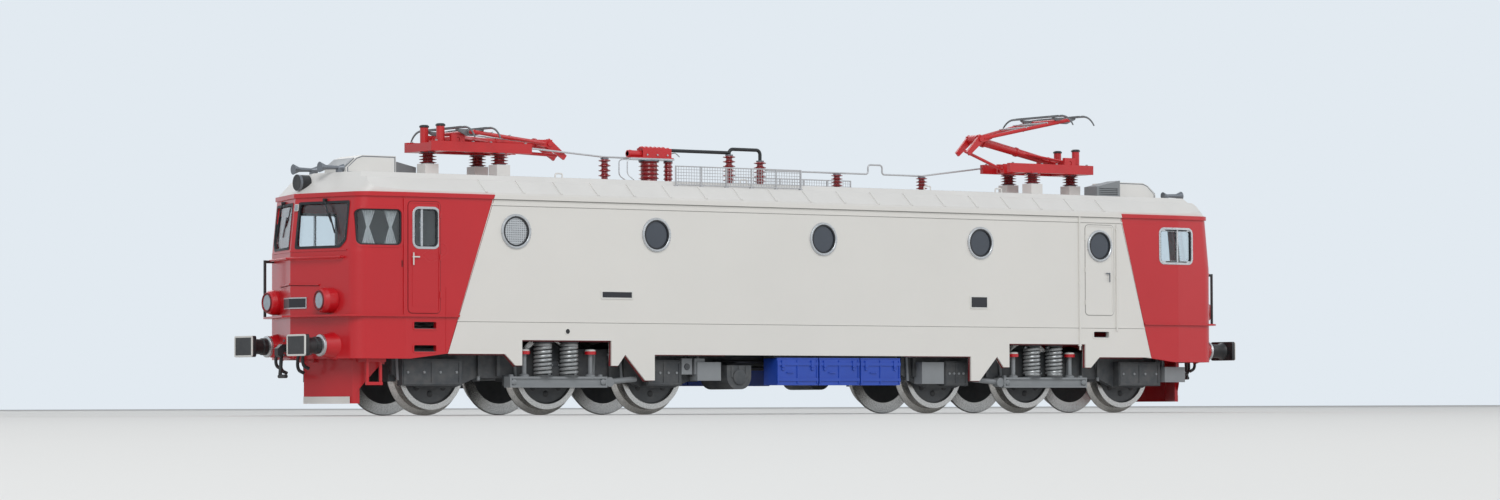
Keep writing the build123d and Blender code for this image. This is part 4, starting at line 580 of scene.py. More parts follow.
def draw_cab_door(shape):
    """Cab door: shut line painted as a dark red strip for the shade in it, raised edge, white T handle and hinges, with
    the handrail beside it.
    """
    shape.band(rounded(*CAB_DOOR, grow=0.14), rounded(*CAB_DOOR), on_side, -0.2, 0.015, 1)
    shape.band(rounded(*CAB_DOOR), rounded(*CAB_DOOR, grow=-0.28), on_side, -0.2, 0.11, 0)
    x, z, width, height, _ = CAB_DOOR
    edge = x - width / 2
    shape.tube([on_side(edge - 0.9, LEDGE_Z + 0.5, 0.12), on_side(edge - 0.9, 40.4, 0.12)], 0.13, 8, 0)
    shape.tube([on_side(edge + 1.0, 28.0, 0.35), on_side(edge + 1.0, 30.3, 0.35)], 0.14, 8, 2)
    shape.tube([on_side(edge + 1.0, 29.5, 0.35), on_side(edge + 2.3, 29.5, 0.35)], 0.14, 8, 2)
    shape.tube([on_side(edge + 1.0, 29.5, -0.1), on_side(edge + 1.0, 29.5, 0.4)], 0.16, 8, 2)
    for hinge_z in (22.5, 29.5, 37.5):
        hinge = (x + width / 2, hinge_z)
        shape.tube([on_side(hinge[0], hinge[1] - 0.6, 0.14), on_side(hinge[0], hinge[1] + 0.6, 0.14)], 0.17, 8, 0)
    strip(shape, x - width / 2 + 0.9, x + width / 2 - 0.9, 20.4, 30.0, -0.2, 0.05, 0)
    # A small painted shadow in the darker red beside the handrail.
    strip(shape, -95.4, -95.05, 27.6, 28.8, -0.1, 0.03, 1)
    strip(shape, -85.85, -85.65, 12.0, 24.0, -0.2, 0.06, 0)


def draw_curtains(shape):
    """Two gathered curtains, moulded behind the side window, each tied in at its middle."""
    x, z, width, height, _ = SIDE_WINDOW
    for middle, top_half, low_half in ((x - width / 2 + 2.6, 1.4, 1.3), (x - width / 2 + 7.2, 1.25, 1.15)):
        rows = []
        for row in range(17):
            t = row / 16
            half = 0.22 + (low_half if t < 0.5 else top_half) * abs(2 * t - 1) ** 0.95
            line = []
            for column in range(25):
                c = column / 12 - 1
                fold = 0.13 * half * math.cos(c * math.pi * 4.5)
                line.append(on_side(middle + c * half, z - height / 2 + t * height, -1.15 + fold))
            rows.append(line)
        shape.loops(rows, 0, closed=False)


def screen_outline(grow=0.0):
    """Outline of one windscreen as (distance from the prow, z), its lower outer corner cut off."""
    low, high = SCREEN_LOW_Z - grow, SCREEN_HIGH_Z + grow
    inner, outer, cut = SCREEN_INNER - grow, SCREEN_OUTER + grow, SCREEN_CUT + 0.3 * grow
    corners = [Vector(p) for p in ((inner, low), (outer - cut, low), (outer, low + cut), (outer, high), (inner, high))]
    outline = []
    radius = SCREEN_RADIUS * 0.75
    for k, corner in enumerate(corners):
        before, after = corners[k - 1], corners[(k + 1) % len(corners)]
        first = corner + (before - corner).normalized() * radius
        last = corner + (after - corner).normalized() * radius
        for step in range(5):
            t = step / 4
            outline.append(tuple((1 - t) ** 2 * first + 2 * t * (1 - t) * corner + t * t * last))
    return outline


def mirrored(outline):
    """The outline on the other half of the cab front, with its points in the same turning sense."""
    return [(-a, b) for a, b in reversed(outline)]


def draw_screens(shape):
    """Rubber frames of the windscreens with a thin bright edge, and the wipers hung from their tops."""
    for turn in (lambda line: line, mirrored):
        shape.band(turn(screen_outline(0.3)), turn(screen_outline(-0.18)), on_front, -0.35, 0.13, 0)
        shape.band(turn(screen_outline(0.38)), turn(screen_outline(0.26)), on_front, -0.2, 0.07, 1)
    for side in (1, -1):
        pivot, elbow, tip = (side * 8.1, 40.1), (side * 9.6, 37.2), (side * 11.3, 33.9)
        shape.tube([on_front(*pivot, -0.1), on_front(*pivot, 0.75)], 0.3, 12, 0)
        shape.tube([on_front(*pivot, 0.55), on_front(*elbow, 0.6), on_front(side * 10.3, 35.9, 0.45)], 0.13, 8, 0)
        shape.tube([on_front(side * 9.5, 37.6, 0.3), on_front(*tip, 0.28)], 0.16, 6, 0)


def draw_front_trim(shape):
    """Trim of a cab front: lamp at the prow, lip over the plate with a painted shadow strip under it, and sill under
    the windscreens.
    """
    shape.plate(rounded(0.75, 38.9, 0.95, 1.3, 0.12), on_front, -0.1, 0.3, 1)
    shape.plate(rounded(0.75, 38.9, 0.7, 1.05, 0.1), on_front, 0.25, 0.36, 2)
    for side in (1, -1):
        outline = [(side * 0.0, 24.45), (side * 7.6, 24.25), (side * 7.6, 24.5), (side * 0.0, 24.75)]
        shape.plate(outline, on_front, -0.2, 0.28, 0)
        # Painted shadow: a dark red strip under the lip.
        outline = [(side * 0.0, 24.3), (side * 7.6, 24.1), (side * 7.6, 24.25), (side * 0.0, 24.45)]
        shape.plate(outline, on_front, -0.2, 0.03, 3)
        outline = [(side * 0.0, 30.6), (side * 14.6, 30.6), (side * 14.6, 30.85), (side * 0.0, 30.85)]
        shape.plate(outline, on_front, -0.2, 0.16, 0)


def draw_number_plate(shape):
    """Blank plate with a light border, bent a little over the prow."""
    for grow, low, high, material in ((0.0, -0.1, 0.22, 1), (-0.22, -0.1, 0.26, 0)):
        left, right, bottom, top = -4.4 - grow, 4.4 + grow, 20.0 - grow, 22.1 + grow
        for start, end in ((left, 0.0), (0.0, right)):
            shape.plate([(start, bottom), (end, bottom), (end, top), (start, top)], on_front, low, high, material)


def draw_headlamps(shape):
    """Bezel and reflector ring of each headlamp."""
    for side in (1, -1):
        y, face = side * 9.9, -108.9
        profile = [(-0.05, 1.5), (0.06, 1.58), (0.1, 1.72), (0.02, 1.86), (-0.5, 1.9), (-0.5, 1.5), (-0.05, 1.5)]
        rings = [[(face - a, y + r * math.cos(t), 21.4 + r * math.sin(t))
                  for t in (2 * math.pi * n / 40 for n in range(40))] for a, r in profile]
        shape.loops(rings, 0, capped=False)


def draw_buffers(shape):
    """Buffers: collar, stepped shank and rectangular head with a white border on its face."""
    for side in (1, -1):
        y = side * BUFFER_Y
        shape.lathe((-108.3, y, BUFFER_Z), (-1, 0, 0), [(0, 0), (0, 1.95), (0.1, 2.05), (0.55, 2.05), (0.7, 1.8), (0.7, 0)], 36, 2)
        shape.lathe((-109.0, y, BUFFER_Z), (-1, 0, 0), [(0, 0), (0, 1.62), (0.9, 1.62), (1.0, 1.45), (3.1, 1.45), (3.8, 1.9), (3.8, 0)], 36, 0)
        across = lambda a, b, out: (-out, a, b)
        outline = rounded(y, BUFFER_Z, 6.9, 4.0, 0.45)
        rim = rounded(y, BUFFER_Z, 6.9, 4.0, 0.45, grow=-0.35)
        shape.plate(outline, across, 112.8, 113.62, 0)
        shape.band(rounded(y, BUFFER_Z, 6.9, 4.0, 0.45), rim, across, 113.55, BUFFER_FACE_X, 1)
        shape.plate(rounded(y, BUFFER_Z, 6.9, 4.0, 0.45, grow=-0.3), across, 113.5, 113.7, 0)


def draw_hoses(shape):
    """Brake hoses and cocks beside the coupling, the hook's spindle, and the pad's bolts."""
    for y, low in ((3.2, 8.6), (-3.2, 8.6), (5.1, 9.4), (-5.1, 9.4)):
        path = [(-106.9, y, 11.9), (-109.4, y, 11.9), (-109.6, y, low), (-108.2, y, low - 0.6)]
        shape.tube(arc_path(path, 1.4, 7), 0.32, 10, 0)
        shape.lathe((-107.0, y, 11.9), (-1, 0, 0), [(0, 0), (0, 0.55), (1.0, 0.55), (1.1, 0.4), (1.1, 0)], 16, 1)
    for y in (-1.5, 1.5):
        for z in (11.4, 14.1):
            shape.lathe((-109.6, y, z), (-1, 0, 0), [(0, 0), (0, 0.28), (0.25, 0.24), (0.25, 0)], 6, 1)


def draw_plough_edge(shape):
    """White strip along the bottom of the plough."""
    for (x_from, y_from), (x_to, y_to) in (((-101.3, 9.0), (-106.4, 0.0)), ((-106.4, 0.0), (-102.4, -10.2))):
        run = Vector((x_to - x_from, y_to - y_from)).normalized()
        normal = Vector((run.y, -run.x)) * (1 if run.y * -1 < 0 or run.x < 0 else 1)
        if normal.x > 0:
            normal = -normal
        corners = [(x_from, y_from), (x_to, y_to), (x_to + normal.x * 0.1, y_to), (x_from + normal.x * 0.1, y_from)]
        shape.plate(corners, lambda a, b, out: (a, b, out), 2.32, 3.6, 0)


# Roof

def draw_roof_seams(shape):
    """Panel seams across and along the roof, with lifting lugs beside them."""
    for x in (-48.0, -18.0, 12.0, 42.0):
        shape.box((x - 0.08, x + 0.08), (-11.4, 11.4), (ROOF_TOP_Z - 0.2, ROOF_TOP_Z + 0.03), 0)
    for y in (-11.3, 11.3):
        shape.box((-88.0, 88.0), (y - 0.07, y + 0.07), (ROOF_TOP_Z - 0.2, ROOF_TOP_Z + 0.02), 0)
    for x in (-56.0, -12.5, 33.5, 52.0):
        for y in (-9.8, 9.8):
            path = [(x - 0.8, y, ROOF_TOP_Z - 0.1), (x - 0.8, y, ROOF_TOP_Z + 0.9),
                    (x + 0.8, y, ROOF_TOP_Z + 0.9), (x + 0.8, y, ROOF_TOP_Z - 0.1)]
            shape.tube(arc_path(path, 0.35), 0.16, 8, 1)


def draw_roof_hatches(shape):
    """Raised hatches in the roof, with their bolts."""
    for x_from, x_to, half in ((3.5, 15.0, 6.5), (21.0, 36.0, 6.5), (42.5, 54.0, 6.5), (-56.0, -43.5, 6.5)):
        shape.box((x_from, x_to), (-half, half), (ROOF_TOP_Z - 0.2, ROOF_TOP_Z + 0.28), 0)
        for n in range(6):
            for y in (-half + 0.5, half - 0.5):
                x = x_from + 0.7 + (x_to - x_from - 1.4) * n / 5
                shape.lathe((x, y, ROOF_TOP_Z + 0.2), (0, 0, 1), [(0, 0), (0, 0.2), (0.2, 0.17), (0.2, 0)], 6, 0)


def draw_fence(shape):
    """Mesh fence on the roof edge: posts, rails and a fine wire mesh, with a foot under each post."""
    x_from, x_to = FENCE_X
    z_low, z_high = FENCE_Z
    panel = (x_to - x_from) / FENCE_PANELS
    flat = lambda a, b, out: (a, -out, b)
    for n in range(FENCE_PANELS + 1):
        x = x_from + n * panel
        shape.plate([(x - 0.12, z_low), (x + 0.12, z_low), (x + 0.12, z_high - 0.15), (x - 0.12, z_high - 0.15)],
                    flat, FENCE_Y - 0.12, FENCE_Y + 0.12, 0)
        shape.box((x - 0.35, x + 0.35), (-FENCE_Y - 0.3, -FENCE_Y + 0.3), (z_low, z_low + 0.2), 0)
    for z in (z_low + 0.35, z_high - 0.2):
        shape.tube([(x_from - 0.1, -FENCE_Y, z), (x_to + 0.1, -FENCE_Y, z)], 0.12, 8, 0)
    pitch = 0.62
    for n in range(1, int((x_to - x_from) / pitch) + 1):
        x = x_from + n * pitch
        shape.tube([(x, -FENCE_Y - 0.04, z_low + 0.35), (x, -FENCE_Y - 0.04, z_high - 0.2)], 0.05, 5, 0)
    for n in range(1, 6):
        z = z_low + 0.35 + (z_high - z_low - 0.55) * n / 6
        shape.tube([(x_from, -FENCE_Y + 0.04, z), (x_to, -FENCE_Y + 0.04, z)], 0.05, 5, 0)


def shed_line(z_low, z_high, core, shed, count):
    """Profile of a ribbed insulator with rounded sheds, as (height, radius)."""
    pitch = (z_high - z_low) / count
    profile = [(z_low, 0), (z_low, core * 1.15)]
    for n in range(count):
        foot = z_low + pitch * n
        profile += [(foot + 0.2 * pitch, core), (foot + 0.34 * pitch, shed * 0.93), (foot + 0.42 * pitch, shed),
                    (foot + 0.52 * pitch, shed * 0.97), (foot + 0.8 * pitch, core * 1.05)]
    return profile + [(z_high, core * 1.1), (z_high, 0)]


def draw_insulators(shape):
    """All the roof insulators, each with its metal caps."""
    rows = [(end * x, end * y, PEDESTAL_TOP_Z, BASE_LOW_Z, 0.95, 1.72, 4) for end in (1, -1) for x, y in PAN_INSULATORS]
    rows += [(x, 0, ROOF_TOP_Z, top, 0.62, 1.22, 5) for x, top in ((-39.0, 50.4), (17.75, 48.9), (39.56, 48.9))]
    rows += [(-9.1, 0, ROOF_TOP_Z, 52.0, 0.62, 1.28, 7), (-1.5, 0, ROOF_TOP_Z, 51.0, 0.62, 1.28, 6)]
    rows += [(-28.5, 0, ROOF_TOP_Z, 50.3, 1.6, 2.05, 6), (-23.9, 0, ROOF_TOP_Z, 50.3, 0.7, 0.98, 6)]
    for x, y, low, high, core, shed, count in rows:
        shape.lathe((x, y, 0), (0, 0, 1), shed_line(low, high, core, shed, count), 28, 0)
        for z in (low, high - 0.3):
            shape.lathe((x, y, z), (0, 0, 1), [(0, 0), (0, core * 1.3), (0.3, core * 1.3), (0.3, 0)], 24, 1)


def draw_main_switch(shape):
    """Ribbed arcing chamber, drum and bolts of the main switch, and the light bar under it."""
    shape.box((-33.7, -23.3), (-1.42, 1.42), (50.26, 50.62), 1)
    ribs = [(0, 0), (0, 1.0)]
    for n in range(6):
        ribs += [(0.25 + n, 1.12), (0.5 + n, 1.12), (0.75 + n, 0.85)]
    shape.lathe((-30.6, 0, 51.9), (1, 0, 0), ribs + [(6.6, 1.0), (6.6, 0)], 24, 0)
    shape.lathe((-33.6, 0, 51.45), (1, 0, 0), [(0, 0), (0, 0.5), (0.3, 0.78), (0.8, 0.78), (1.0, 0.6), (3.0, 0.6), (3.0, 0)], 20, 0)
    for x in (-29.6, -27.2, -24.8):
        for y in (-1.16, 1.16):
            shape.lathe((x, y, 51.3), (0, math.copysign(1, y), 0), [(-0.1, 0), (-0.1, 0.22), (0.12, 0.18), (0.12, 0)], 6, 1)
    for y in (-1.5, 1.5):
        shape.tube(arc_path([(-33.4, y, 50.4), (-34.6, y, 50.2), (-34.6, y, 47.2), (-33.0, y, 46.2)], 0.7), 0.12, 8, 1)
    shape.tube(arc_path([(-23.6, 0, 51.6), (-21.6, 0.8, 52.0), (-20.6, 0.8, 51.2)], 0.6), 0.12, 8, 1)


def draw_roof_box(shape):
    """Frames and louvres of the big roof box, and its silver sloped front."""
    low, high, half = 46.6, 49.0, 4.0
    back, top, foot = -88.8, -97.5, -99.7
    slope = [(top - 0.15, high - 0.7), (foot + 0.02, low + 0.1)]
    for y in (-half, half):
        out = math.copysign(0.05, y)
        face = lambda a, b, lift, y=y, out=out: (a, y + out * lift, b)
        outer = [(back - 0.15, ROOF_TOP_Z + 0.2), (back - 0.15, high - 0.15), (top + 1.3, high - 0.15),
                 (top + 0.1, high - 0.6), (foot + 0.3, low), (foot + 0.3, ROOF_TOP_Z + 0.2)]
        centre_a, centre_b = (back + foot) / 2, 47.2
        inner = [(centre_a + (a - centre_a) * 0.965, centre_b + (b - centre_b) * 0.9) for a, b in outer]
        shape.band(outer, inner, face, -2, 1, 1)
    corners = [(slope[0][0], -half + 0.25), (slope[0][0], half - 0.25), (slope[1][0], half - 0.25), (slope[1][0], -half + 0.25)]

    def on_slope(a, b, out):
        share = (a - slope[0][0]) / (slope[1][0] - slope[0][0])
        return (a - out, b, slope[0][1] + (slope[1][1] - slope[0][1]) * share + out)

    shape.plate(corners, on_slope, -0.3, 0.16, 2)
    for n in range(5):
        x = -90.6 - n * 1.3
        shape.box((x - 0.3, x + 0.3), (-3.2, 3.2), (high - 0.2, high + 0.0), 2)


def draw_roof_lamp(shape):
    """Roof lamp over the prow: black drum with a bright ring and a lens."""
    face = -108.0
    ring = [(face + 0.6, 1.52), (face + 0.05, 1.55), (face + 0.02, 1.2), (face + 0.6, 1.2), (face + 0.6, 1.52)]
    rings = [[(x, r * math.cos(t), 43.65 + r * math.sin(t)) for t in (2 * math.pi * n / 40 for n in range(40))]
             for x, r in ring]
    shape.loops(rings, 0, capped=False)
    shape.lathe((face + 0.5, 0, 43.65), (-1, 0, 0), [(0, 0), (0, 1.2), (0.3, 1.1), (0.44, 0.6), (0.48, 0)], 32, 1)


# Running gear

def draw_springs(shape):
    """Coil springs of a bogie, each with its end plates and the guide inside it."""
    for side in (1, -1):
        for u in SPRINGS_U:
            x, y = -(PIVOT_X + u), side * sum(BEAM_Y) / 2
            low, high, wire, turns = BEAM_Z[1] + 0.3, SPRING_TOP_Z - 0.3, 0.33, 8.0
            steps = int(turns * 22)
            radius = SPRING_RADIUS - wire - 0.02
            points = []
            for n in range(steps + 1):
                t = n / steps
                angle = 2 * math.pi * turns * t
                height = low + 0.3 + (high - low - 0.6) * min(1, max(0, (t - 0.06) / 0.88))
                points.append((x + radius * math.cos(angle), y + radius * math.sin(angle), height))
            shape.tube(points, wire, 8, 0)
            for z in (BEAM_Z[1], SPRING_TOP_Z - 0.3):
                shape.lathe((x, y, z), (0, 0, 1), [(0, 0), (0, SPRING_RADIUS), (0.3, SPRING_RADIUS), (0.3, 0)], 28, 1)
            shape.lathe((x, y, BEAM_Z[1]), (0, 0, 1), [(0, 0), (0, 0.8), (6.4, 0.8), (6.4, 0)], 16, 1)


def draw_post_caps(shape):
    """Red caps with a light rim on the guide posts, and the washers at the posts' feet."""
    for side in (1, -1):
        for u in POSTS_U:
            x, y = -(PIVOT_X + u), side * sum(BEAM_Y) / 2
            shape.lathe((x, y, POST_TOP_Z - 0.05), (0, 0, 1), [(0, 0), (0, 1.12), (0.62, 1.12), (0.62, 0)], 28, 0)
            shape.lathe((x, y, POST_TOP_Z + 0.57), (0, 0, 1), [(0, 0), (0, 1.04), (0.3, 1.0), (0.42, 0.6), (0.42, 0)], 28, 1)
            shape.lathe((x, y, BEAM_Z[1] - 0.05), (0, 0, 1), [(0, 0), (0, 0.95), (0.35, 0.95), (0.6, 0.55), (0.6, 0)], 20, 2)


def draw_bogie_trim(shape):
    """Beam ribs and bolts, axle covers, frame ribs, brake rods and pipes of the bogie at -X."""
    for side in (1, -1):
        face = side * BEAM_Y[1]
        for u in (BEAM_U[0] + 0.9, BEAM_U[1] - 0.9):
            x = -(PIVOT_X + u)
            shape.lathe((x, face - side * 0.4, 6.3), (0, side, 0), [(0, 0), (0, 0.62), (0.42, 0.62), (0.55, 0.4), (0.55, 0)], 6, 0)
            shape.lathe((x, side * 14.5, BEAM_Z[1] - 0.1), (0, 0, 1), [(0, 0), (0, 0.5), (0.5, 0.45), (0.5, 0)], 6, 0)
        eye = -(PIVOT_X + BEAM_U[0] - 0.8)
        shape.lathe((eye, side * 13.7, 6.3), (0, side, 0), [(0, 0), (0, 0.95), (1.7, 0.95), (1.7, 0)], 20, 0)
        for u in AXLES_U:
            x = -(PIVOT_X + u)
            shape.lathe((x, side * 11.6, AXLE_Z), (0, side, 0),
                        [(0.8, 0), (0.8, 2.2), (1.3, 2.2), (1.5, 1.9), (1.5, 1.2), (1.75, 1.1), (1.75, 0)], 28, 1)
            for n in range(6):
                t = math.pi / 3 * n
                shape.lathe((x + 1.6 * math.cos(t), side * 13.0, AXLE_Z + 1.6 * math.sin(t)), (0, side, 0),
                            [(0, 0), (0, 0.24), (0.2, 0.2), (0.2, 0)], 6, 0)
        for u in (-31.5, -16.0, -12.6, 12.8, 17.0, 33.0):
            x = -(PIVOT_X + u)
            shape.box((x - 0.35, x + 0.35), sorted((side * 12.3, side * 13.1)), (7.4, 12.6), 1)
        shape.tube(arc_path([(-(PIVOT_X - 33.0), side * 12.9, 11.6), (-(PIVOT_X - 12.0), side * 12.9, 11.6)], 1.0), 0.28, 8, 0)
        for axle in AXLES_U:
            for way in (1, -1):
                x = -(PIVOT_X + axle + way * (TREAD_RADIUS + 1.9))
                shape.tube([(x, side * 12.6, 12.0), (x + way * 0.3, side * 12.7, 6.6)], 0.3, 8, 0)
    for u in (-9.4, 9.4, 17.0, -15.6):
        x = -(PIVOT_X + u)
        shape.tube([(x, -10.6, 6.9), (x, 10.6, 6.9)], 0.3, 8, 0)


def draw_axlebox_trim(shape):
    """Ribs, lids and bolts on the boxes in front of the outer wheels, as seen on both sides."""
    rows = ((1, 21.6, 34.6, 5.6, 10.6), (-1, 21.6, 33.0, 5.6, 10.6), (1, -28.4, -20.2, 5.6, 10.6),
            (-1, -24.6, -18.6, 5.6, 10.6))
    for side, u_from, u_to, low, high in rows:
        face = -side * 14.2
        out = -side * 0.14
        for u in (u_from + 0.5, (u_from + u_to) / 2, u_to - 0.5):
            x = -(PIVOT_X + u)
            shape.box((x - 0.2, x + 0.2), sorted((face - out, face + out)), (low + 0.2, high - 0.2), 0)
        for z in (low + 0.4, high - 0.5):
            shape.box((-(PIVOT_X + u_to) + 0.2, -(PIVOT_X + u_from) - 0.2), sorted((face - out, face + out * 1.2)), (z - 0.18, z + 0.18), 0)
        for n in range(4):
            x = -(PIVOT_X + u_from + 1.2 + (u_to - u_from - 2.4) * n / 3)
            shape.lathe((x, face, (low + high) / 2), (0, -side, 0), [(-0.1, 0), (-0.1, 0.3), (0.2, 0.26), (0.2, 0)], 6, 1)
    for u in (-32.4, -29.4):
        x = -(PIVOT_X + u)
        shape.box((x - 1.2, x + 1.2), (-14.6, -12.3), (7.8, 10.9), 1)
        shape.lathe((x, -14.5, 9.3), (0, -1, 0), [(0, 0), (0, 0.7), (0.3, 0.6), (0.3, 0)], 16, 0)


def draw_battery_trim(shape):
    """Lid seams, latches and handles of the three battery boxes on the near side."""
    x_from, x_to = -9.57, 20.86
    pitch = (x_to - x_from + 0.3) / 3
    for n in range(3):
        low = x_from + n * pitch
        high = low + pitch - 0.3
        for x in (low + 1.4, high - 1.4):
            shape.box((x - 0.35, x + 0.35), (-17.22, -16.7), (9.2, 10.6), 0)
            shape.lathe((x, -17.0, 8.9), (0, -1, 0), [(0, 0), (0, 0.35), (0.15, 0.3), (0.15, 0)], 12, 0)
        for x in (low + 0.2, (low + high) / 2, high - 0.2):
            shape.box((x - 0.14, x + 0.14), (-17.08, -16.8), (6.0, 10.7), 0)
        shape.box((low, high), (-17.0, -12.3), (10.9, 11.1), 0)
        middle = (low + high) / 2
        handle = [(middle - 2.6, -16.9, 8.2), (middle - 2.6, -17.25, 8.2), (middle - 1.2, -17.25, 8.2), (middle - 1.2, -16.9, 8.2)]
        shape.tube(arc_path(handle, 0.2), 0.1, 6, 0)


def draw_underfloor(shape):
    """Pipes, tank straps and brackets under the near side, between the bogies."""
    for z, y in ((10.4, -10.6), (9.2, -9.2)):
        shape.tube([(-20.0, y, z), (20.0, y, z)], 0.35, 8, 0)
    for x in (-19.2, -17.5, -15.8):
        shape.box((x - 0.25, x + 0.25), (-15.35, -6.0), (7.2, 9.5), 1)
    shape.lathe((-17.5, -15.2, 7.3), (0, -1, 0), [(0, 0), (0, 1.5), (0.25, 1.5), (0.35, 1.1), (0.35, 0)], 28, 1)


# Cab interiors

def draw_cab_fittings(shape):
    """Dials and levers on the desk, and the seats' cushions and backs."""
    for y in (-11.5, -8.5, -5.5, 5.5, 8.5, 11.5):
        shape.lathe((-101.4, y, 28.95), (-0.25, 0, 1), [(0, 0), (0, 0.75), (0.35, 0.75), (0.45, 0.6), (0.45, 0)], 20, 1)
        shape.lathe((-101.4, y, 29.38), (-0.25, 0, 1), [(0, 0), (0, 0.55), (0.05, 0.55), (0.05, 0)], 20, 2)
    for y in (-9.6, -2.0, 2.0, 9.6):
        shape.tube([(-99.6, y, 28.2), (-99.2, y, 30.0)], 0.16, 8, 0)
        shape.lathe((-99.2, y, 29.9), (0, 0, 1), [(0, 0), (0.1, 0.32), (0.4, 0.34), (0.6, 0)], 12, 0)
    for seat_y in (-7.5, 7.5):
        cushion = rounded(seat_y, -92.4, 4.2, 3.4, 0.8)
        shape.plate(cushion, lambda a, b, out: (b, a, out), 24.9, 25.7, 3)
        back = rounded(seat_y, 29.2, 4.2, 6.2, 0.9)
        shape.plate(back, lambda a, b, out: (-out, a, b), 91.2, 91.8, 3)


# Pantographs

def turned_point(point, centre, degrees):
    """A point in (x, z) turned about a centre. Positive lifts what lies towards the middle."""
    angle = math.radians(degrees)
    dx, dz = point[0] - centre[0], point[1] - centre[1]
    return (centre[0] + dx * math.cos(angle) + dz * math.sin(angle),
            centre[1] - dx * math.sin(angle) + dz * math.cos(angle))


def pantograph_points(lift):
    """Knee, head pivot and rod eye in (x, z) after the lower arm has turned by lift degrees."""
    knee = turned_point(KNEE, ARM_FOOT, lift)
    shift = (knee[0] - KNEE[0], knee[1] - KNEE[1])
    moved = [turned_point(p, KNEE, -UPPER_RATIO * lift) for p in (HEAD_PIVOT, ROD_EYE)]
    return (knee, *[(x + shift[0], z + shift[1]) for x, z in moved])


def between(start, end, share):
    """The point at a share of the way from start to end, in (x, z)."""
    return tuple(s + (e - s) * share for s, e in zip(start, end))


def draw_pan_head(shape, head):
    """Head: two contact strips with carbon tops, thin horns, hangers and springs on the cross tube."""
    for offset in (-2.85, 2.85):
        x, z = head[0] + offset, head[1] + 0.55 + 0.225
        shape.box((x - 0.38, x + 0.38), (-7.9, 7.9), (z - 0.2, z + 0.08), 0)
        shape.box((x - 0.28, x + 0.28), (-7.0, 7.0), (z + 0.06, z + 0.22), 1)
        for side in (1, -1):
            points = [(x, side * 7.6, z)]
            for n in range(12):
                t = math.radians(58.0) * n / 11
                points.append((x, side * (8.0 + 4.5 * math.sin(t)), z - 4.5 * (1 - math.cos(t))))
            radii = [0.24] * 3 + [0.22 - 0.008 * n for n in range(10)]
            shape.tube(points, radii, 8, 0)
    for side in (1, -1):
        outline = [(head[0] - 3.15, head[1] + 0.56), (head[0] + 3.15, head[1] + 0.56), (head[0] + 2.9, head[1] + 0.2),
                   (head[0] + 0.75, head[1] - 0.72), (head[0] - 0.75, head[1] - 0.72), (head[0] - 2.9, head[1] + 0.2)]
        shape.plate(outline, lambda a, b, out: (a, out, b), side * 5.08, side * 5.5, 0)
        shape.lathe((head[0], side * 4.95, head[1]), (0, side, 0), [(0, 0), (0, 0.68), (0.75, 0.68), (0.75, 0)], 16, 0)
    for x in (head[0] - 2.85, head[0] + 2.85):
        for y in (-5.3, 5.3):
            shape.lathe((x, y, head[1] + 0.3), (0, 0, 1), [(0, 0), (0, 0.3), (0.3, 0.3), (0.3, 0)], 12, 0)


def draw_pan_upper(shape, knee, head):
    """Upper arm: thin grey guide rods between the fork's tubes, cross braces, and bolts at the knee."""
    for share in (0.52, 0.76):
        x, z = between(knee, head, share)
        half = 1.8 + (7.0 - 1.8) * share
        shape.tube([(x, -half, z + 0.4), (x, half, z + 0.4)], 0.17, 8, 0)
    for side in (1, -1):
        low, high = between(knee, head, 0.2), between(knee, head, 0.97)
        shape.tube([(low[0], side * 2.3, low[1] - 0.2), (high[0], side * 4.6, high[1] - 0.45)], 0.13, 8, 0)
        shape.lathe((knee[0], side * 2.05, knee[1]), (0, side, 0), [(0, 0), (0, 0.6), (0.35, 0.55), (0.35, 0)], 6, 1)


def draw_pan_lower(shape, knee):
    """Lower arm: collars, a lug for the spring, and bolts at the foot."""
    run = Vector((knee[0] - ARM_FOOT[0], 0, knee[1] - ARM_FOOT[1]))
    for share, radius in ((0.1, 1.0), (0.5, 1.0), (0.9, 1.12)):
        centre = Vector((ARM_FOOT[0], 0, ARM_FOOT[1])) + run * share
        shape.lathe(centre, run, [(-0.25, 0), (-0.25, radius), (0.25, radius), (0.25, 0)], 20, 0)
    for side in (1, -1):
        start = (ARM_FOOT[0], side * 2.6, ARM_FOOT[1] + 0.4)
        finish = Vector((ARM_FOOT[0], 0, ARM_FOOT[1])) + run * 0.42
        shape.tube([start, (finish.x, side * 0.5, finish.z)], 0.28, 8, 0)
        shape.lathe((ARM_FOOT[0], side * 3.3, ARM_FOOT[1]), (0, side, 0), [(0, 0), (0, 0.98), (0.35, 0.98), (0.35, 0)], 20, 0)


def draw_pan_base(shape):
    """Fixed frame: raising springs, dampers, cylinder, bolts and feet on the insulators."""
    for side in (1, -1):
        low, high, radius = 64.8, 73.6, 0.5
        points = []
        for n in range(221):
            t = n / 220
            points.append((low + (high - low) * t, side * 2.9 + radius * math.cos(2 * math.pi * 20 * t),
                           51.4 + radius * math.sin(2 * math.pi * 20 * t)))
        shape.tube(points, 0.13, 5, 1)
        shape.tube([(64.0, side * 2.9, 51.4), (77.6, side * 2.9, 51.4)], 0.22, 8, 1)
        for x in (60.2, 68.0, 72.0, 80.2):
            shape.lathe((x, side * 4.5, 52.15), (0, 0, 1), [(0, 0), (0, 0.3), (0.28, 0.26), (0.28, 0)], 6, 1)
        shape.lathe((78.4, side * 3.0, 55.15), (0, 0, 1), [(0, 0), (0, 0.95), (0.3, 0.95), (0.5, 0.7), (0.5, 0)], 20, 2)
    shape.lathe((65.0, 0, 51.0), (1, 0, 0), [(0, 0), (0, 0.45), (0.3, 0.55), (6.0, 0.55), (6.3, 0.3), (9.6, 0.3), (9.6, 0)], 20, 0)
    for x, y in PAN_INSULATORS:
        shape.box((x - 1.1, x + 1.1), (y - 1.1, y + 1.1), (50.2, 50.55), 0)


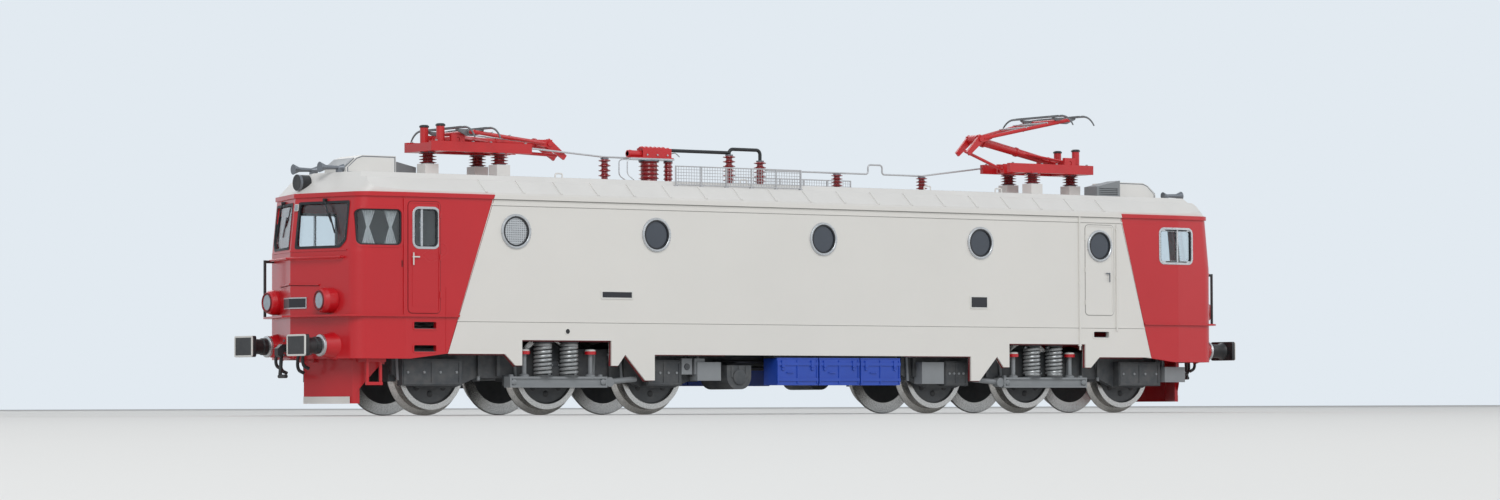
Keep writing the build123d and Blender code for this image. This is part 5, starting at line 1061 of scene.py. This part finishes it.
def make_pantographs():
    """Trim of both pantographs, each at the height at which it stands. Number 1 is the turned one."""
    for number, lift in ((1, -FOLD_DEG), (2, 0.0)):
        knee, head, _ = pantograph_points(lift)
        rows = (
            ("head", f"head_{number}", "contact_grey", (CONTACT, CARBON), lambda s: draw_pan_head(s, head)),
            ("upper_trim", f"upper_arm_{number}", "wire_grey", (WIRE, PAN_RED), lambda s: draw_pan_upper(s, knee, head)),
            ("lower_trim", f"lower_arm_{number}", "pantograph_red", (PAN_RED,), lambda s: draw_pan_lower(s, knee)),
            ("base_trim", "root", "pantograph_red", (PAN_RED, SPRING, BLACK), draw_pan_base),
        )
        for name, body, slot, materials, draw in rows:
            shape = Shape()
            draw(shape)
            replaced = (f"pantograph_head_{number}",) if name == "head" else ()
            shape.finish(f"pan_{name}_{number}", body, slot, materials, bevel=0.03 if name != "upper_trim" else 0.0,
                         turned=number == 1, stands_for=replaced)


def make_body():
    """Everything that is fixed to the two sides and the cabs."""
    both(draw_side_mouldings, "side_mouldings", ROOT, "white_paint", (WHITE, SHADOW_WHITE), bevel=0.04)
    both(draw_body_door, "body_door", ROOT, "white_paint", (WHITE, SHADOW_WHITE, DARK_SILVER))
    both(draw_joint_lines, "joint_lines", ROOT, "red_paint", (SHADOW_RED,))
    both(draw_sill_edge, "sill_edge", ROOT, "red_paint", (DEEP_RED,))
    both(draw_porthole_seals, "porthole_seals", ROOT, "silver", (SILVER, RUBBER))
    both(draw_side_plates, "side_plates", ROOT, "black_plastic", (PLATE_BLACK, PLATE_WHITE, BLACK, WHITE))
    both(draw_step_lips, "step_lips", ROOT, "red_paint", (RED, WHITE, DARK))
    both(draw_window_frames, "window_frames", ROOT, "silver", (RED, SILVER, RUBBER), bevel=0.03)
    both(draw_cab_door, "cab_door", ROOT, "red_paint", (RED, SHADOW_RED, PLATE_WHITE))
    both(draw_curtains, "curtains", ROOT, "white_paint", (CURTAIN,), thick=0.1)
    both(draw_screens, "windscreen_frames", ROOT, "black_plastic", (RUBBER, RED))
    both(draw_front_trim, "front_trim", ROOT, "red_paint", (RED, PLATE_WHITE, LENS, SHADOW_RED))
    both(draw_number_plate, "number_plate", ROOT, "black_plastic", (PLATE_BLACK, SILVER))
    both(draw_headlamps, "headlamp_bezels", ROOT, "red_paint", (DEEP_RED,))
    both(draw_buffers, "buffer", ROOT, "black_plastic", (BLACK, PLATE_WHITE, SILVER),
         bevel=0.06, stands_for=("buffers",))
    both(draw_hoses, "hoses", ROOT, "black_plastic", (BLACK, DARK_SILVER))
    both(draw_plough_edge, "plough_edge", ROOT, "white_paint", (PLATE_WHITE,))
    both(draw_cab_fittings, "cab_fittings", ROOT, "interior_grey", (BLACK, DARK_SILVER, PLATE_WHITE, DARK), bevel=0.08)
    both(draw_roof_box, "roof_box_trim", ROOT, "silver", (ROOF_WHITE, DARK_SILVER, GREY), bevel=0.03)
    both(draw_roof_lamp, "roof_lamp_glass", ROOT, "lens", (DARK_SILVER, LENS))
    both(draw_underfloor, "underfloor", ROOT, "dark_plastic", (BLACK, DARK), bevel=0.06)
    both(draw_battery_trim, "battery_trim", ROOT, "blue_paint", (BLUE,), bevel=0.04)


def make_side_pieces():
    """Pieces that stand for one CAD node of both sides: the two grilles and the two fences."""
    for name, draw, slot, materials, node in (
        ("grille_discs", draw_grille, "silver", (SILVER, DARK), "side_grilles"),
        ("fence_mesh", draw_fence, "wire_grey", (WIRE,), "mesh_fences"),
    ):
        shape = Shape()
        draw(shape)
        copy = bmesh.ops.duplicate(shape.mesh, geom=list(shape.mesh.verts) + list(shape.mesh.faces))
        moved = [v for v in copy["geom"] if isinstance(v, bmesh.types.BMVert)]
        bmesh.ops.rotate(shape.mesh, verts=moved, cent=(0, 0, 0), matrix=Matrix.Rotation(math.pi, 3, "Z"))
        shape.finish(name, "root", slot, materials, stands_for=(node,))


def make_roof():
    """Seams, hatches, insulators and the main switch."""
    rows = (
        ("roof_seams", draw_roof_seams, "white_paint", (SHADOW_WHITE, ROOF_WHITE), 0.0, ()),
        ("roof_hatches", draw_roof_hatches, "white_paint", (ROOF_WHITE,), 0.06, ()),
        ("insulators", draw_insulators, "insulator_red", (INSULATOR, DARK_SILVER), 0.0, ("roof_insulators",)),
        ("switch_trim", draw_main_switch, "pantograph_red", (PAN_RED, SILVER), 0.0, ()),
    )
    for name, draw, slot, materials, bevel, nodes in rows:
        shape = Shape()
        draw(shape)
        shape.finish(name, "root", slot, materials, bevel=bevel, stands_for=nodes)


def make_bogies():
    """Springs, caps and trim that ride on the bogies."""
    both(draw_springs, "coil_springs", BOGIES, "spring_grey", (SPRING, DARK), stands_for=("bogie_springs",))
    both(draw_post_caps, "post_caps", BOGIES, "red_paint", (RED, PLATE_WHITE, GREY))
    both(draw_bogie_trim, "bogie_trim", BOGIES, "dark_plastic", (GREY, DARK), bevel=0.04)
    both(draw_axlebox_trim, "axlebox_trim", BOGIES, "dark_plastic", (DARK, GREY))


def make_wheel_trim():
    """Bolts round the hub on the outer faces of the wheels."""
    places = sorted(end * (PIVOT_X + u) for end in (1, -1) for u in AXLES_U)
    for number, x in enumerate(places, start=1):
        shape = Shape()
        for side in (1, -1):
            face = side * (7.2 + 2.8 - 0.45)
            for n in range(8):
                t = 2 * math.pi * n / 8
                centre = (x + 4.1 * math.cos(t), face, AXLE_Z + 4.1 * math.sin(t))
                shape.lathe(centre, (0, side, 0), [(-0.1, 0), (-0.1, 0.62), (0.05, 0.62), (0.1, 0.5), (0.1, 0)], 16, 0)
        shape.finish(f"wheel_trim_{number}", f"axle_{number}", "wheel_metal", (BLACK,))


# Floor, lights and camera

PHOTO_WIDTH = 1500
FOCAL_PIXELS = 4302.7
SENSOR = 36.0
CAMERA_PLACE = (-503.89, -704.95, 1.5)
CAMERA_YAW, CAMERA_PITCH, CAMERA_ROLL = (math.radians(v) for v in (35.340, 2.085, -0.171))


def make_camera():
    """Camera at the photograph's place, raised to the floor's level and turned down to match."""
    yaw, pitch, roll = CAMERA_YAW, CAMERA_PITCH, CAMERA_ROLL
    forward = Vector((math.sin(yaw) * math.cos(pitch), math.cos(yaw) * math.cos(pitch), math.sin(pitch)))
    level = Vector((math.cos(yaw), -math.sin(yaw), 0))
    upright = level.cross(forward)
    right = level * math.cos(roll) + upright * math.sin(roll)
    up = upright * math.cos(roll) - level * math.sin(roll)
    data = bpy.data.cameras.new("camera")
    data.sensor_width = SENSOR
    data.lens = FOCAL_PIXELS / PHOTO_WIDTH * SENSOR
    data.clip_start, data.clip_end = 0.01, 50
    camera = bpy.data.objects.new("camera", data)
    bpy.context.scene.collection.objects.link(camera)
    turn = Matrix((right, up, -forward)).transposed().to_4x4()
    camera.matrix_world = Matrix.Translation(Vector(CAMERA_PLACE) * MM) @ turn
    bpy.context.scene.camera = camera


def add_light(name, place, size, power, colour=(1, 1, 1)):
    """A soft square lamp that looks at the middle of the model."""
    data = bpy.data.lights.new(name, "AREA")
    data.size = size
    data.energy = power
    data.color = colour
    lamp = bpy.data.objects.new(name, data)
    bpy.context.scene.collection.objects.link(lamp)
    lamp.location = place
    lamp.rotation_euler = (Vector((0, 0, 0.03)) - Vector(place)).to_track_quat("-Z", "Y").to_euler()


def make_stage():
    """Pale floor, a plain light surround and three soft lamps."""
    floor_mesh = bpy.data.meshes.new("floor")
    reach = 6.0
    floor_mesh.from_pydata([(-reach, -reach, 0), (reach, -reach, 0), (reach, reach, 0), (-reach, reach, 0)], [], [(0, 1, 2, 3)])
    floor_mesh.materials.append(finish_of("floor", srgb(222, 222, 220), 0.8, vary=0.015, patch=300, grain=4, relief=0.0))
    floor = bpy.data.objects.new("floor", floor_mesh)
    bpy.context.scene.collection.objects.link(floor)
    add_light("key", (-0.9, -1.5, 1.25), 1.1, 20.0)
    add_light("fill", (1.6, -1.0, 0.8), 1.2, 6.0)
    add_light("back", (0.4, 1.6, 1.2), 1.2, 7.0)
    world = bpy.data.worlds.new("surround")
    bpy.context.scene.world = world
    world.use_nodes = True
    tree = world.node_tree
    backdrop = tree.nodes["Background"]
    backdrop.inputs["Color"].default_value = srgb(226, 234, 241)
    backdrop.inputs["Strength"].default_value = 1.0
    soft = tree.nodes.new("ShaderNodeBackground")
    soft.inputs["Color"].default_value = (0.95, 0.97, 1.0, 1.0)
    soft.inputs["Strength"].default_value = 0.42
    path = tree.nodes.new("ShaderNodeLightPath")
    seen = tree.nodes.new("ShaderNodeMath")
    seen.operation = "MAXIMUM"
    seen_too = tree.nodes.new("ShaderNodeMath")
    seen_too.operation = "MAXIMUM"
    blend = tree.nodes.new("ShaderNodeMixShader")
    tree.links.new(path.outputs["Is Camera Ray"], seen.inputs[0])
    tree.links.new(path.outputs["Is Glossy Ray"], seen.inputs[1])
    tree.links.new(seen.outputs[0], seen_too.inputs[0])
    tree.links.new(path.outputs["Is Transmission Ray"], seen_too.inputs[1])
    tree.links.new(seen_too.outputs[0], blend.inputs[0])
    tree.links.new(soft.outputs[0], blend.inputs[1])
    tree.links.new(backdrop.outputs[0], blend.inputs[2])
    tree.links.new(blend.outputs[0], tree.nodes["World Output"].inputs["Surface"])


make_camera()
dress_nodes()
make_body()
make_side_pieces()
make_roof()
make_bogies()
make_wheel_trim()
make_pantographs()
make_stage()
bpy.context.scene.view_settings.view_transform = "Standard"
